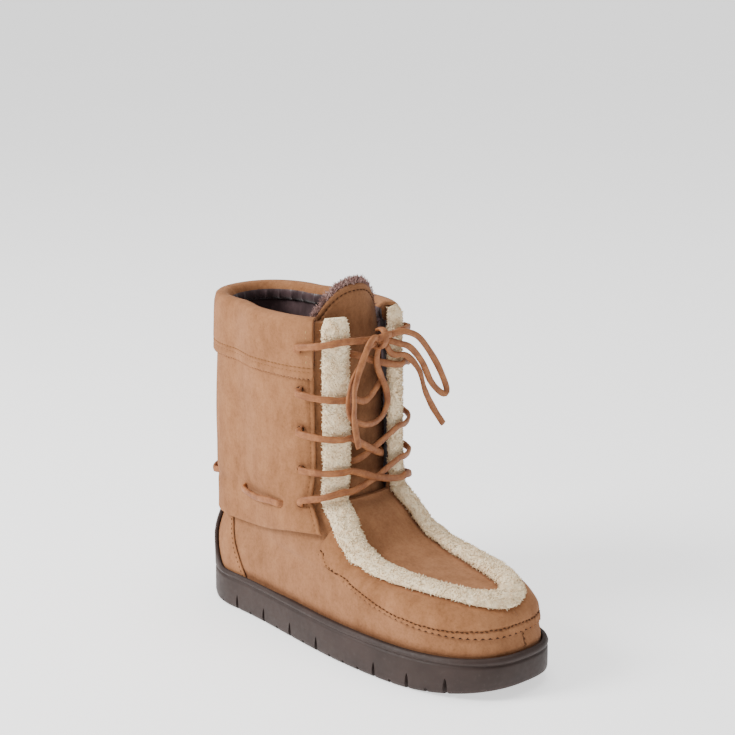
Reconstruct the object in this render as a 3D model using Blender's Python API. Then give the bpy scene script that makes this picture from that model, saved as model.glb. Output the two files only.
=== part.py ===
"""Right suede moccasin boot: rubber cup sole, hollow upper, apron, wool trim, shaft wrap, cuff and laces.

Metres. +X points to the toe, +Y to the inner side of the foot, +Z up. The origin is on the floor under the
middle of the heel.
"""

import math
from collections import namedtuple

import bmesh
import bpy
from mathutils import Vector

# Last and shaft sizes
HEEL_REACH = 0.0435
HEEL_HALF = 0.0413
BALL_HALF = 0.0490
TOE_REACH = 0.2360
TOE_SWING = 0.0040
INSTEP_HEIGHT = 0.0980
SHAFT_BACK = 0.0400
SHAFT_HALF = 0.0420
SHAFT_FRONT = 0.0930
COLLAR_HEIGHT = 0.2214
COLLAR_RISE = 0.0010

# Leather, lining and clearances
CLEARANCE = 0.0004
UPPER_WALL = 0.0030
OVERLAY = 0.0016
COUNTER = 0.0012
CUFF_LEATHER = 0.0020

# Rubber sole
SOLE_MARGIN = 0.0046
SOLE_EDGE = 0.0265
SOLE_FLOOR = 0.0140
SOLE_LIP = 0.0042
GROOVE_DEPTH = 0.0009
TOE_SPRING = 0.0095
TOE_SPRING_RUN = 0.0720
TOE_RIM_LIFT = 0.0030
HEEL_BEVEL = 0.0120
HEEL_BEVEL_RUN = 0.0330
FIN_HEIGHT = 0.0375
FIN_WALL = 0.0030
TREAD_DEPTH = 0.0030
TREAD_WIDTH = 0.0026
NOTCH_HEIGHT = 0.0112
NOTCH_WIDTH = 0.0034
NOTCH_REACH = 0.0060

# Insole
INSOLE_THICKNESS = 0.0050
INSOLE_CLEARANCE = 0.0008

# Throat, trim, wrap and cuff
THROAT_HALF = 0.0335
SLOT_HALF = 0.0250
SEAM_HEIGHT = 0.0975
TRIM_HALF = 0.0086
TRIM_HEIGHT = 0.0085
TRIM_ROOM = 0.0008
PLUG_NOSE = 0.2165
PLUG_HALF = 0.0350
PLUG_POWER = 2.5
APRON_HEIGHT = 0.0405
APRON_RISE = 0.0920
APRON_BEND = 2.2
APRON_REAR = 0.40
SEAM_FOOT = 0.0145
SEAM_HEAD = -0.0135
WRAP_HEM = 0.0660
WRAP_HEM_RISE = 0.0120
WRAP_HANG = 0.0022
CUFF_DEPTH = 0.0390
CUFF_FOLD = 0.0120
COLLAR_PAD = 0.0034

# Tongue
TONGUE_THICKNESS = 0.0045
TONGUE_HALF = 0.0315
TONGUE_TOP = 0.2410
TONGUE_TUCK = 0.0130
TONGUE_BOW = 0.0360
TONGUE_SET_BACK = 0.0065

# Laces and ankle thong
LACE_WIDTH = 0.0044
LACE_THICKNESS = 0.0024
HOLE_INSET = 0.0090
HOLE_WIDTH = 0.0046
HOLE_HEIGHT = 0.0034
LACE_OFF = 0.0011
CORD_THICKNESS = 0.0032
KNOT_SIZE = 0.0135
LACE_TOP = 0.2010
LACE_PITCH = 0.0268
LACE_ROWS = 5
THONG_HEIGHT = 0.0925

# Outline of the last from the sole's floor to the collar. Levels run 0 to 1 up to the instep and on to 2 at
# the collar. The column shaft says how far a row takes the shaft's sizes in place of the foot's. Back, heel,
# ball and nose are shares of those sizes, and ball_at is a share of the row's own nose.
Slice = namedtuple("Slice", "level shaft back heel ball_at ball nose power")
SLICES = (
    Slice(0.12, 0.0, 0.925, 0.915, 0.545, 0.955, 0.975, 2.70),
    Slice(0.27, 0.0, 0.950, 0.945, 0.545, 0.985, 0.990, 2.70),
    Slice(0.39, 0.0, 0.965, 0.960, 0.535, 1.000, 0.977, 2.70),
    Slice(0.48, 0.0, 0.955, 0.950, 0.525, 0.990, 0.962, 2.80),
    Slice(0.54, 0.0, 0.930, 0.915, 0.520, 0.970, 0.933, 2.90),
    Slice(0.585, 0.0, 0.895, 0.880, 0.515, 0.955, 0.880, 3.00),
    Slice(0.62, 0.0, 0.870, 0.845, 0.520, 0.940, 0.700, 3.00),
    Slice(0.66, 0.0, 0.855, 0.825, 0.545, 0.930, 0.596, 3.00),
    Slice(0.72, 0.1, 0.870, 0.820, 0.580, 0.925, 0.560, 3.00),
    Slice(0.81, 0.4, 0.910, 0.825, 0.560, 0.940, 0.637, 2.90),
    Slice(0.91, 0.8, 0.965, 0.830, 0.515, 0.970, 0.855, 2.90),
    Slice(1.00, 1.0, 1.015, 0.835, 0.480, 0.990, 1.012, 2.90),
    Slice(1.10, 1.0, 1.020, 0.840, 0.430, 1.000, 1.000, 3.00),
    Slice(1.50, 1.0, 1.015, 0.835, 0.385, 1.000, 0.990, 3.00),
    Slice(2.00, 1.0, 1.000, 0.820, 0.360, 1.000, 0.985, 3.00),
)
HEEL_SHARE = 0.24
SIDE_SHARE = 0.30
HEEL_POWER = 2.2

# Side notches of the sole: place along the foot as a share of the toe's reach, and whether the notch is tall
Notch = namedtuple("Notch", "place tall")
NOTCHES = (
    Notch(-0.050, False), Notch(0.022, True), Notch(0.086, False), Notch(0.153, True), Notch(0.220, False),
    Notch(0.286, True), Notch(0.352, False), Notch(0.414, True), Notch(0.474, False), Notch(0.532, False),
    Notch(0.592, False), Notch(0.654, True), Notch(0.712, False), Notch(0.770, True), Notch(0.828, False),
    Notch(0.882, True),
)

# Every form round the foot is built on the same columns and levels, so that neighbours stay parallel
COLUMNS = 52
ROWS = (0.27, 0.39, 0.48, 0.54, 0.585, 0.61, 0.635, 0.67, 0.73, 0.81, 0.89, 0.97, 1.08, 1.40, 1.70)


def steady_curve(places, values):
    """A smooth curve through the points that never overshoots them."""
    gaps = [b - a for a, b in zip(places, places[1:])]
    rates = [(b - a) / gap for a, b, gap in zip(values, values[1:], gaps)]
    slopes = [rates[0]]
    for before, after in zip(rates, rates[1:]):
        slopes.append(0.0 if before * after <= 0 else 2 * before * after / (before + after))
    slopes.append(rates[-1])

    def value(place):
        place = min(max(place, places[0]), places[-1])
        i = next((k for k in range(len(gaps)) if place <= places[k + 1]), len(gaps) - 1)
        t = (place - places[i]) / gaps[i]
        start = values[i] * (1 + 2 * t) * (1 - t) ** 2 + slopes[i] * gaps[i] * t * (1 - t) ** 2
        return start + values[i + 1] * t * t * (3 - 2 * t) + slopes[i + 1] * gaps[i] * t * t * (t - 1)

    return value


def smooth_step(value, low, high):
    t = min(max((value - low) / (high - low), 0.0), 1.0)
    return t * t * (3 - 2 * t)


def mix(a, b, share):
    return a + (b - a) * share


LEVELS = [row.level for row in SLICES]
PROFILE = {}
for field in Slice._fields[1:]:
    PROFILE[field] = steady_curve(LEVELS, [getattr(row, field) for row in SLICES])


def level_at(height):
    if height <= INSTEP_HEIGHT:
        return height / INSTEP_HEIGHT
    return 1 + (height - INSTEP_HEIGHT) / (COLLAR_HEIGHT - INSTEP_HEIGHT)


def height_at(level):
    if level <= 1:
        return level * INSTEP_HEIGHT
    return INSTEP_HEIGHT + (level - 1) * (COLLAR_HEIGHT - INSTEP_HEIGHT)


Ring = namedtuple("Ring", "back heel ball_x ball nose power swing")


def ring_at(height):
    """Sizes of the last's horizontal section at this height."""
    level = level_at(height)
    row = {field: curve(level) for field, curve in PROFILE.items()}
    nose = row["nose"] * mix(TOE_REACH, SHAFT_FRONT, row["shaft"])
    return Ring(
        back=row["back"] * mix(HEEL_REACH, SHAFT_BACK, row["shaft"]),
        heel=row["heel"] * mix(HEEL_HALF, SHAFT_HALF, row["shaft"]),
        ball_x=row["ball_at"] * nose,
        ball=row["ball"] * mix(BALL_HALF, SHAFT_HALF, row["shaft"]),
        nose=nose,
        power=row["power"],
        swing=TOE_SWING * (1 - row["shaft"]) * (nose / TOE_REACH) ** 3,
    )


def quarter(angle, power):
    """A point of a rounded square's quarter: (1, 0) at angle 0 and (0, 1) at a right angle."""
    c, s = max(math.cos(angle), 0.0), max(math.sin(angle), 0.0)
    reach = (c**power + s**power) ** (-1 / power)
    return c * reach, s * reach


def plan_point(height, around):
    """Where the last's section passes: around is 0 at the back, 1 at the nose and 2 at the back again."""
    around %= 2.0
    side, share = (-1, around) if around <= 1 else (1, 2 - around)
    ring = ring_at(height)
    if share <= HEEL_SHARE:
        c, s = quarter(share / HEEL_SHARE * math.pi / 2, HEEL_POWER)
        return -ring.back * c, side * ring.heel * s
    if share <= HEEL_SHARE + SIDE_SHARE:
        t = (share - HEEL_SHARE) / SIDE_SHARE
        return ring.ball_x * t, side * mix(ring.heel, ring.ball, t * t * (3 - 2 * t))
    t = (share - HEEL_SHARE - SIDE_SHARE) / (1 - HEEL_SHARE - SIDE_SHARE)
    c, s = quarter((1 - t) * math.pi / 2, ring.power)
    return ring.ball_x + (ring.nose - ring.ball_x) * c, side * ring.ball * s + ring.swing * c * c


def collar_shift(height, x):
    """The collar stands higher in front than at the back."""
    up = smooth_step(height, INSTEP_HEIGHT, COLLAR_HEIGHT)
    return COLLAR_RISE * up * x / SHAFT_FRONT


def bare_point(height, around):
    x, y = plan_point(height, around)
    return Vector((x, y, height + collar_shift(height, x)))


def skin(height, around, lift=0.0):
    """A point of the upper's outside, moved off it by lift."""
    point = bare_point(height, around)
    if not lift:
        return point
    return point + skin_normal(height, around) * lift


def skin_normal(height, around):
    small_turn, small_rise = 0.004, 0.0006
    along = bare_point(height, around + small_turn) - bare_point(height, around - small_turn)
    up = bare_point(height + small_rise, around) - bare_point(height - small_rise, around)
    return along.cross(up).normalized()


def throat_around(height, half):
    """Where the outer side's section comes within half of the middle plane, in front."""
    low, high = HEEL_SHARE + SIDE_SHARE, 1.0
    for _ in range(30):
        middle = (low + high) / 2
        if -plan_point(height, middle)[1] > half:
            low = middle
        else:
            high = middle
    return low


def on_crown(x, y):
    """(height, around) of the point of the foot's top that lies over this place."""
    low, high = APRON_HEIGHT, INSTEP_HEIGHT * 1.2
    for _ in range(30):
        middle = (low + high) / 2
        ring = ring_at(middle)
        ahead = (x - ring.ball_x) / (ring.nose - ring.ball_x)
        aside = (y - ring.swing * max(ahead, 0) ** 2) / ring.ball
        if max(ahead, 0) ** ring.power + abs(aside) ** ring.power < 1:
            low = middle
        else:
            high = middle
    ring = ring_at(low)
    ahead = max((x - ring.ball_x) / (ring.nose - ring.ball_x), 1e-6)
    aside = (y - ring.swing * ahead**2) / ring.ball
    share = 1 - math.atan2(abs(aside), ahead) / (math.pi / 2)
    around = HEEL_SHARE + SIDE_SHARE + share * (1 - HEEL_SHARE - SIDE_SHARE)
    return low, around if aside <= 0 else 2 - around


def step_on_skin(height, around, move):
    """(height, around) after a short move along the skin."""
    small_turn, small_rise = 0.004, 0.0006
    here = bare_point(height, around)
    along = (bare_point(height, around + small_turn) - here) / small_turn
    up = (bare_point(height + small_rise, around) - here) / small_rise
    a, b, c = along.dot(along), along.dot(up), up.dot(up)
    p, q = move.dot(along), move.dot(up)
    scale = a * c - b * b
    return height + (a * q - b * p) / scale, around + (c * p - b * q) / scale


def material(name, colour, roughness, metallic=0.0):
    made = bpy.data.materials.new(name)
    made.use_nodes = True
    shader = made.node_tree.nodes["Principled BSDF"]
    shader.inputs["Base Color"].default_value = (*colour, 1.0)
    shader.inputs["Roughness"].default_value = roughness
    shader.inputs["Metallic"].default_value = metallic
    return made


def new_object(name, mesh, finish):
    piece = bpy.data.objects.new(name, mesh)
    bpy.context.scene.collection.objects.link(piece)
    if finish:
        mesh.materials.append(finish)
    return piece


def mesh_object(name, points, faces, finish=None):
    mesh = bpy.data.meshes.new(name)
    mesh.from_pydata([tuple(p) for p in points], [], faces)
    shaped = bmesh.new()
    shaped.from_mesh(mesh)
    bmesh.ops.recalc_face_normals(shaped, faces=shaped.faces)
    shaped.to_mesh(mesh)
    shaped.free()
    mesh.shade_smooth()
    mesh.set_sharp_from_angle(angle=math.radians(40))
    return new_object(name, mesh, finish)


def tube_of_rings(name, rings, finish=None):
    """A closed solid whose skin runs through the rings and back to the first one, as a hollow wall does."""
    points = [p for ring in rings for p in ring]
    size, count = len(rings[0]), len(rings)
    faces = []
    for i in range(count):
        for j in range(size):
            a, b = i * size, (i + 1) % count * size
            faces.append((a + j, a + (j + 1) % size, b + (j + 1) % size, b + j))
    return mesh_object(name, points, faces, finish)


def sweep(name, sections, finish=None):
    """A closed solid through the sections, with both ends filled."""
    points = [p for section in sections for p in section]
    size = len(sections[0])
    faces = [tuple(range(size)), tuple(range(len(points) - size, len(points)))[::-1]]
    for i in range(len(sections) - 1):
        for j in range(size):
            a, b = i * size, (i + 1) * size
            faces.append((a + j, a + (j + 1) % size, b + (j + 1) % size, b + j))
    return mesh_object(name, points, faces, finish)


def sheet_solid(name, outer, inner, finish=None):
    """A closed solid between two grids of points, joined round their four edges."""
    rows, columns = len(outer), len(outer[0])
    points = [p for row in outer for p in row] + [p for row in inner for p in row]
    under = rows * columns
    faces = []
    for i in range(rows - 1):
        for j in range(columns - 1):
            a, b = i * columns + j, (i + 1) * columns + j
            faces.append((a, a + 1, b + 1, b))
            faces.append((under + a, under + b, under + b + 1, under + a + 1))
    edge = [j for j in range(columns)]
    edge += [i * columns + columns - 1 for i in range(1, rows)]
    edge += [(rows - 1) * columns + j for j in range(columns - 2, -1, -1)]
    edge += [i * columns for i in range(rows - 2, 0, -1)]
    for a, b in zip(edge, edge[1:] + edge[:1]):
        faces.append((a, b, under + b, under + a))
    return mesh_object(name, points, faces, finish)


def ladder(size, start):
    """Faces that fill a ring whose points pair off across the middle, from the back to the nose."""
    half = size // 2
    faces = [(start, start + 1, start + size - 1)]
    for j in range(1, half - 1):
        faces.append((start + j, start + j + 1, start + size - j - 1, start + size - j))
    faces.append((start + half - 1, start + half, start + half + 1))
    return faces


def stacked_rings(name, rings, finish=None):
    """A closed solid through the rings, its first and last filled from side to side."""
    points = [p for ring in rings for p in ring]
    size, count = len(rings[0]), len(rings)
    faces = ladder(size, 0) + [face[::-1] for face in ladder(size, (count - 1) * size)]
    for i in range(count - 1):
        for j in range(size):
            a, b = i * size, (i + 1) * size
            faces.append((a + j, a + (j + 1) % size, b + (j + 1) % size, b + j))
    return mesh_object(name, points, faces, finish)


def prism(points, move):
    """Corner points and faces of a straight prism."""
    size = len(points)
    corners = list(points) + [p + move for p in points]
    faces = [tuple(range(size)), tuple(range(2 * size - 1, size - 1, -1))]
    faces += [(j, (j + 1) % size, size + (j + 1) % size, size + j) for j in range(size)]
    return corners, faces


def hidden(piece):
    """Mark a helper that only shapes other pieces."""
    piece.hide_render = True
    piece.display_type = "WIRE"
    return piece


def cutter(name, solids):
    """One hidden helper mesh that holds several separate solids."""
    points, faces = [], []
    for corners, sides in solids:
        start = len(points)
        points += corners
        faces += [tuple(start + k for k in side) for side in sides]
    return hidden(mesh_object(name, points, faces))


def boolean(piece, other, operation):
    step = piece.modifiers.new(other.name, "BOOLEAN")
    step.operation = operation
    step.solver = "EXACT"
    step.object = other


def even(count):
    return [k / (count - 1) for k in range(count)]


def ring_columns(count=COLUMNS):
    return [2 * k / count for k in range(count)]


def rows_between(low, high):
    """The two heights, and the common levels that lie between them."""
    return [low] + [height_at(r) for r in ROWS if low + 0.002 < height_at(r) < high - 0.002] + [high]


def rows_around(low, high):
    """The common levels from the last one below low to the first one above high."""
    heights = [height_at(r) for r in ROWS]
    below = max((z for z in heights if z <= low), default=low)
    above = min((z for z in heights if z >= high), default=high)
    return [z for z in sorted({below, above, *heights}) if below <= z <= above]


def level_ring(height, lift):
    """A ring of the skin cut off level."""
    ring = [skin(height, around, lift) for around in ring_columns()]
    for point in ring:
        point.z = height
    return ring


def shell(name, heights, under, over, finish=None):
    """A hollow form round the foot between two distances off the last, both functions of height."""
    outer = [[skin(z, around, over(z)) for around in ring_columns()] for z in heights]
    inner = [[skin(z, around, under(z)) for around in ring_columns()] for z in heights]
    return tube_of_rings(name, outer + inner[::-1], finish)


def last_ring(height, lift_of):
    """A ring round the last, moved out by a distance that may change round it."""
    return [skin(height, around, lift_of(around)) for around in ring_columns()]


def last_form(name, heights, lift):
    """The last's own form, moved out by lift, as a hidden cutter."""
    return hidden(stacked_rings(name, [last_ring(z, lambda around: lift(z)) for z in heights]))


def outline_at(around, inset):
    """The sole's outline in plan, moved inwards by inset."""
    small = 0.004
    x, y = plan_point(SOLE_EDGE, around)
    before, after = plan_point(SOLE_EDGE, around - small), plan_point(SOLE_EDGE, around + small)
    along = Vector((after[0] - before[0], after[1] - before[1])).normalized()
    out = SOLE_MARGIN - inset
    return x + along.y * out, y - along.x * out


def underside(x):
    """Height of the sole's underside: flat, but rising to the toe and at the back of the heel."""
    toe = TOE_REACH + SOLE_MARGIN
    heel = HEEL_REACH + SOLE_MARGIN
    spring = max((x - (toe - TOE_SPRING_RUN)) / TOE_SPRING_RUN, 0.0)
    bevel = max((-x - (heel - HEEL_BEVEL_RUN)) / HEEL_BEVEL_RUN, 0.0)
    return TOE_SPRING * spring**2 + HEEL_BEVEL * bevel**2


def rim_height(around, x):
    """Top of the sole's edge, with the fin that climbs the back of the heel."""
    toe = TOE_REACH + SOLE_MARGIN
    lift = TOE_RIM_LIFT * max((x - (toe - TOE_SPRING_RUN)) / TOE_SPRING_RUN, 0.0) ** 2
    off_back = min(around % 2, 2 - around % 2) / HEEL_SHARE
    return SOLE_EDGE + lift + FIN_HEIGHT * (1 - smooth_step(off_back, 0.40, 0.80))


def fin_lean(around):
    """1 where the fin stands, and 0 along the rest of the edge."""
    off_back = min(around % 2, 2 - around % 2) / HEEL_SHARE
    return 1 - smooth_step(off_back, 0.40, 0.80)


def cup_lift(around):
    """Clearance from the last to the inside of the sole's edge, which takes the counter in at the heel."""
    off_back = min(around % 2, 2 - around % 2)
    past_counter = smooth_step(off_back, HEEL_SHARE * 1.35, HEEL_SHARE * 1.7)
    return CLEARANCE + (COUNTER + CLEARANCE) * (1 - past_counter)


def build_outsole(finish):
    """Moulded rubber cup: beveled tread edge, flat side, groove, lip, heel fin and the well for the upper."""
    columns = ring_columns()

    def wall_ring(inset, height_of):
        ring = []
        for around in columns:
            x, y = outline_at(around, inset)
            ring.append(Vector((x, y, height_of(around, x))))
        return ring

    def leaning_ring(lift_of, drop):
        """A ring that follows the upper's own back where the fin stands."""
        ring = []
        for around in columns:
            top = rim_height(around, plan_point(SOLE_EDGE, around)[0]) - drop
            ring.append(skin(top, around, lift_of(around)))
        return ring

    def fin_lift(share):
        def lift(around):
            plain = cup_lift(around) + (SOLE_MARGIN - cup_lift(around)) * share
            thin = cup_lift(around) + FIN_WALL * share
            return mix(plain, thin, fin_lean(around))
        return lift

    groove_line = SOLE_EDGE - SOLE_LIP
    rings = [
        wall_ring(0.0030, lambda a, x: underside(x)),
        wall_ring(0.0008, lambda a, x: underside(x) + 0.0014),
        wall_ring(0.0, lambda a, x: underside(x) + 0.0045),
        wall_ring(0.0003, lambda a, x: groove_line - 0.0014 + rim_height(1, x) - SOLE_EDGE),
        wall_ring(GROOVE_DEPTH, lambda a, x: groove_line - 0.0007 + rim_height(1, x) - SOLE_EDGE),
        wall_ring(GROOVE_DEPTH, lambda a, x: groove_line - 0.0001 + rim_height(1, x) - SOLE_EDGE),
        wall_ring(0.0002, lambda a, x: groove_line + 0.0006 + rim_height(1, x) - SOLE_EDGE),
        leaning_ring(fin_lift(0.90), 0.0014),
        leaning_ring(fin_lift(0.62), 0.0),
        leaning_ring(lambda around: -CLEARANCE, 0.0),
    ]
    rings += [last_ring(SOLE_EDGE, lambda around: -CLEARANCE), level_ring(SOLE_FLOOR + CLEARANCE, -CLEARANCE)]
    sole = stacked_rings("outsole", rings, finish)
    well = [last_ring(z, cup_lift) for z in rows_between(SOLE_FLOOR, SOLE_EDGE + FIN_HEIGHT + 0.006)]
    for point in well[0]:
        point.z = SOLE_FLOOR
    boolean(sole, hidden(stacked_rings("well_cutter", well)), "DIFFERENCE")
    width = BALL_HALF * 3
    treads, notches = [], []
    for notch in NOTCHES:
        x = notch.place * TOE_REACH
        low = underside(x) - TREAD_DEPTH
        high = underside(x) + TREAD_DEPTH
        rear, front = x - TREAD_WIDTH / 2, x + TREAD_WIDTH / 2
        corners = [(rear, low), (front, low), (front, high), (rear, high)]
        treads.append(prism([Vector((px, -width, pz)) for px, pz in corners], Vector((0, 2 * width, 0))))
        if not notch.tall:
            continue
        for side in (-1, 1):
            around = side_around(x, side)
            edge_x, edge_y = outline_at(around, NOTCH_REACH)
            tip = underside(x) + NOTCH_HEIGHT
            base = underside(x) - TREAD_DEPTH
            shoulder = mix(base, tip, 0.62)
            wedge = [
                (x - NOTCH_WIDTH / 2, base), (x + NOTCH_WIDTH / 2, base), (x + NOTCH_WIDTH * 0.36, shoulder),
                (x, tip), (x - NOTCH_WIDTH * 0.36, shoulder),
            ]
            start = [Vector((px, edge_y, pz)) for px, pz in wedge]
            notches.append(prism(start, Vector((0, side * BALL_HALF, 0))))
    boolean(sole, cutter("tread_cutter", treads), "DIFFERENCE")
    boolean(sole, cutter("notch_cutter", notches), "DIFFERENCE")
    return sole


def side_around(x, side, height=SOLE_EDGE):
    """Where the section at this height passes x on one side: -1 for the outer side, 1 for the inner one."""
    low, high = 0.0, 1.0
    for _ in range(30):
        middle = (low + high) / 2
        if plan_point(height, middle if side < 0 else 2 - middle)[0] < x:
            low = middle
        else:
            high = middle
    return low if side < 0 else 2 - low


def build_insole(finish):
    columns = ring_columns(40)
    lift = -(UPPER_WALL + INSOLE_CLEARANCE)
    base = SOLE_FLOOR + CLEARANCE

    def ring(height, inset):
        made = [skin(height, around, lift - inset) for around in columns]
        for point in made:
            point.z = height
        return made

    top = base + INSOLE_THICKNESS
    rings = [ring(base, 0.0006), ring(base + 0.0008, 0.0), ring(top - 0.0012, 0.0), ring(top, 0.0014)]
    return stacked_rings("insole", rings, finish)


def slot_cutter():
    """A prism that opens the throat from the tongue's seam to above the collar."""
    reach, top = SHAFT_FRONT + 0.06, COLLAR_HEIGHT * 1.2
    waist = SEAM_HEIGHT + 0.010
    corners = [
        (-SLOT_HALF, top), (-SLOT_HALF, waist), (-SLOT_HALF * 0.8, SEAM_HEIGHT),
        (SLOT_HALF * 0.8, SEAM_HEIGHT), (SLOT_HALF, waist), (SLOT_HALF, top),
    ]
    start = [Vector((SHAFT_FRONT * 0.5, y, z)) for y, z in corners]
    return prism(start, Vector((reach, 0, 0)))


def hole_prism(height, around, width, tall, through):
    """A short prism square to the skin, long enough to pass the leather and the wall behind it."""
    out = skin_normal(height, around)
    centre = skin(height, around, -through / 2)
    up = (Vector((0, 0, 1)) - out * out.z).normalized()
    along = up.cross(out)
    signs = ((-1, -1), (1, -1), (1, 1), (-1, 1))
    corners = [centre + along * width / 2 * a + up * tall / 2 * b for a, b in signs]
    return prism(corners, out * through)


def lace_height(row):
    return LACE_TOP - row * LACE_PITCH


def edge_half(height):
    """Half the width between the wrap's front edges: a little more where they come down on the foot."""
    return mix(THROAT_HALF * 1.13, THROAT_HALF, smooth_step(height, WRAP_HEM, INSTEP_HEIGHT * 1.3))


def edge_around(height):
    return throat_around(height, edge_half(height))


def hole_place(row, side):
    """(height, around) of a lace hole, HOLE_INSET behind the wrap's front edge."""
    height = lace_height(row)
    around = edge_around(height)
    here = bare_point(height, around)
    back = bare_point(height, around - 0.01) - here
    height, around = step_on_skin(height, around, back.normalized() * HOLE_INSET)
    return height, around if side < 0 else 2 - around


def thong_places():
    """(height, around) of the ankle thong's slits, from the outer side round the back."""
    front, rear = TOE_REACH * 0.250, TOE_REACH * 0.055
    outer = [side_around(front, -1, THONG_HEIGHT), side_around(rear, -1, THONG_HEIGHT), HEEL_SHARE * 0.52]
    return [(THONG_HEIGHT, a) for a in outer] + [(THONG_HEIGHT, 2 - a) for a in reversed(outer)]


def lace_holes(name, rows, through):
    solids = []
    for row in rows:
        for side in (-1, 1):
            solids.append(hole_prism(*hole_place(row, side), HOLE_WIDTH, HOLE_HEIGHT, through))
    return cutter(name, solids)


def build_upper(finish):
    """One hollow wall from the sole's well to the collar, open at the top, at the throat and underneath."""
    base = SOLE_FLOOR + CLEARANCE
    heights = rows_between(base, COLLAR_HEIGHT - CUFF_LEATHER - CLEARANCE)
    outer = [level_ring(base, 0.0)] + [[skin(z, around) for around in ring_columns()] for z in heights[1:]]
    inner = [level_ring(base, -UPPER_WALL)]
    inner += [[skin(z, around, -UPPER_WALL) for around in ring_columns()] for z in heights[1:]]
    upper = tube_of_rings("upper", outer + inner[::-1], finish)
    boolean(upper, cutter("throat_cutter", [slot_cutter()]), "DIFFERENCE")
    boolean(upper, lace_holes("upper_hole_cutter", range(LACE_ROWS), 0.014), "DIFFERENCE")
    return upper


def side_prism(low_line, high_line):
    """A prism across the whole foot: in side view everything between two lines of (x, z) points."""
    width = BALL_HALF * 1.6
    corners = list(low_line) + list(reversed(high_line))
    return prism([Vector((x, -width, z)) for x, z in corners], Vector((0, 2 * width, 0)))


def front_prism(half_of, low, high, count):
    """A prism ahead of the shin: in front view everything within half_of(height) of the middle plane."""
    heights = [mix(low, high, t) for t in even(count)]
    corners = [(half_of(z), z) for z in heights] + [(-half_of(z), z) for z in reversed(heights)]
    return prism([Vector((SHAFT_FRONT * 0.42, y, z)) for y, z in corners], Vector((TOE_REACH, 0, 0)))


def wrap_hem(x):
    """Height of the wrap's hanging edge: level round the heel and a little higher where it ends in front."""
    return WRAP_HEM + WRAP_HEM_RISE * smooth_step(x, 0.0, SHAFT_FRONT)


def wrap_under(height):
    """The wrap lies on the shaft under the cuff and hangs off it lower down."""
    down = 1 - smooth_step(height, WRAP_HEM, INSTEP_HEIGHT * 1.25)
    return 2 * CLEARANCE + OVERLAY + WRAP_HANG * down


def wrap_over(height):
    return wrap_under(height) + OVERLAY


def wrap_front(height):
    """Half the distance between the front edges of the wrap or the cuff, which leaves the wool its room."""
    return edge_half(height) + TRIM_ROOM * mix(4.5, 1.0, smooth_step(height, WRAP_HEM, INSTEP_HEIGHT))


def build_wrap(finish):
    """Outer leather of the shaft, from the hem at the ankle to under the cuff."""
    heights = rows_around(WRAP_HEM, COLLAR_HEIGHT - CUFF_DEPTH + 0.010)
    wrap = shell("shaft_wrap", heights, wrap_under, wrap_over, finish)
    along = [mix(-2 * HEEL_REACH, 0.7 * TOE_REACH, t) for t in even(12)]
    hem = [(x, wrap_hem(x)) for x in along]
    top = [(x, cuff_line(x) + 0.005) for x in along]
    boolean(wrap, cutter("hem_cutter", [side_prism(hem, top)]), "INTERSECT")
    front = front_prism(wrap_front, WRAP_HEM - 0.02, COLLAR_HEIGHT * 1.1, 8)
    boolean(wrap, cutter("wrap_front_cutter", [front]), "DIFFERENCE")
    boolean(wrap, lace_holes("wrap_hole_cutter", range(1, LACE_ROWS), 0.030), "DIFFERENCE")
    slits = [hole_prism(height, around, HOLE_WIDTH, HOLE_HEIGHT, 0.030) for height, around in thong_places()]
    boolean(wrap, cutter("thong_slit_cutter", slits), "DIFFERENCE")
    return wrap


def cuff_line(x):
    """Height of the cuff's pinked lower edge."""
    return COLLAR_HEIGHT - CUFF_DEPTH + collar_shift(COLLAR_HEIGHT, x)


def build_cuff(finish):
    """Top band: its outer leg covers the wrap's top, and its fold goes over the collar and down inside."""
    top = COLLAR_HEIGHT
    low = top - CUFF_DEPTH
    on_wrap = wrap_over(low) + CLEARANCE
    outside = on_wrap + CUFF_LEATHER
    inside = -(UPPER_WALL + CLEARANCE)
    profile = [
        (on_wrap, low), (outside, low), (outside, top - 0.009), (outside - 0.0008, top - 0.0025),
        (outside - 0.0028, top + 0.0004), (inside + 0.0008, top + 0.0006),
        (inside - COLLAR_PAD * 0.7, top - 0.0022), (inside - COLLAR_PAD, top - 0.0060),
        (inside - COLLAR_PAD * 0.8, top - CUFF_FOLD), (inside, top - CUFF_FOLD),
        (inside, top - CUFF_LEATHER), (CLEARANCE, top - CUFF_LEATHER),
        (CLEARANCE, low + 0.0072), (on_wrap, low + 0.0068),
    ]
    rings = [[skin(height, around, lift) for around in ring_columns()] for lift, height in profile]
    cuff = tube_of_rings("cuff", rings, finish)
    front = front_prism(wrap_front, low - 0.01, top * 1.1, 4)
    boolean(cuff, cutter("cuff_front_cutter", [front]), "DIFFERENCE")
    boolean(cuff, lace_holes("cuff_hole_cutter", range(1), 0.030), "DIFFERENCE")
    return cuff


def build_counter(finish):
    """Heel piece between two slanting seams, from the sole's well to under the wrap."""
    low, high = SOLE_FLOOR + 0.004, WRAP_HEM + 0.006
    outside = CLEARANCE + COUNTER
    counter = shell("counter", rows_between(low, high), lambda z: CLEARANCE, lambda z: outside, finish)
    rear = -2 * HEEL_REACH
    seam = [(rear, low - 0.01), (SEAM_FOOT, low - 0.01), (SEAM_HEAD, high + 0.01), (rear, high + 0.01)]
    start = [Vector((x, -BALL_HALF * 1.6, z)) for x, z in seam]
    boolean(counter, cutter("seam_cutter", [prism(start, Vector((0, BALL_HALF * 3.2, 0)))]), "INTERSECT")
    return counter


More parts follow.
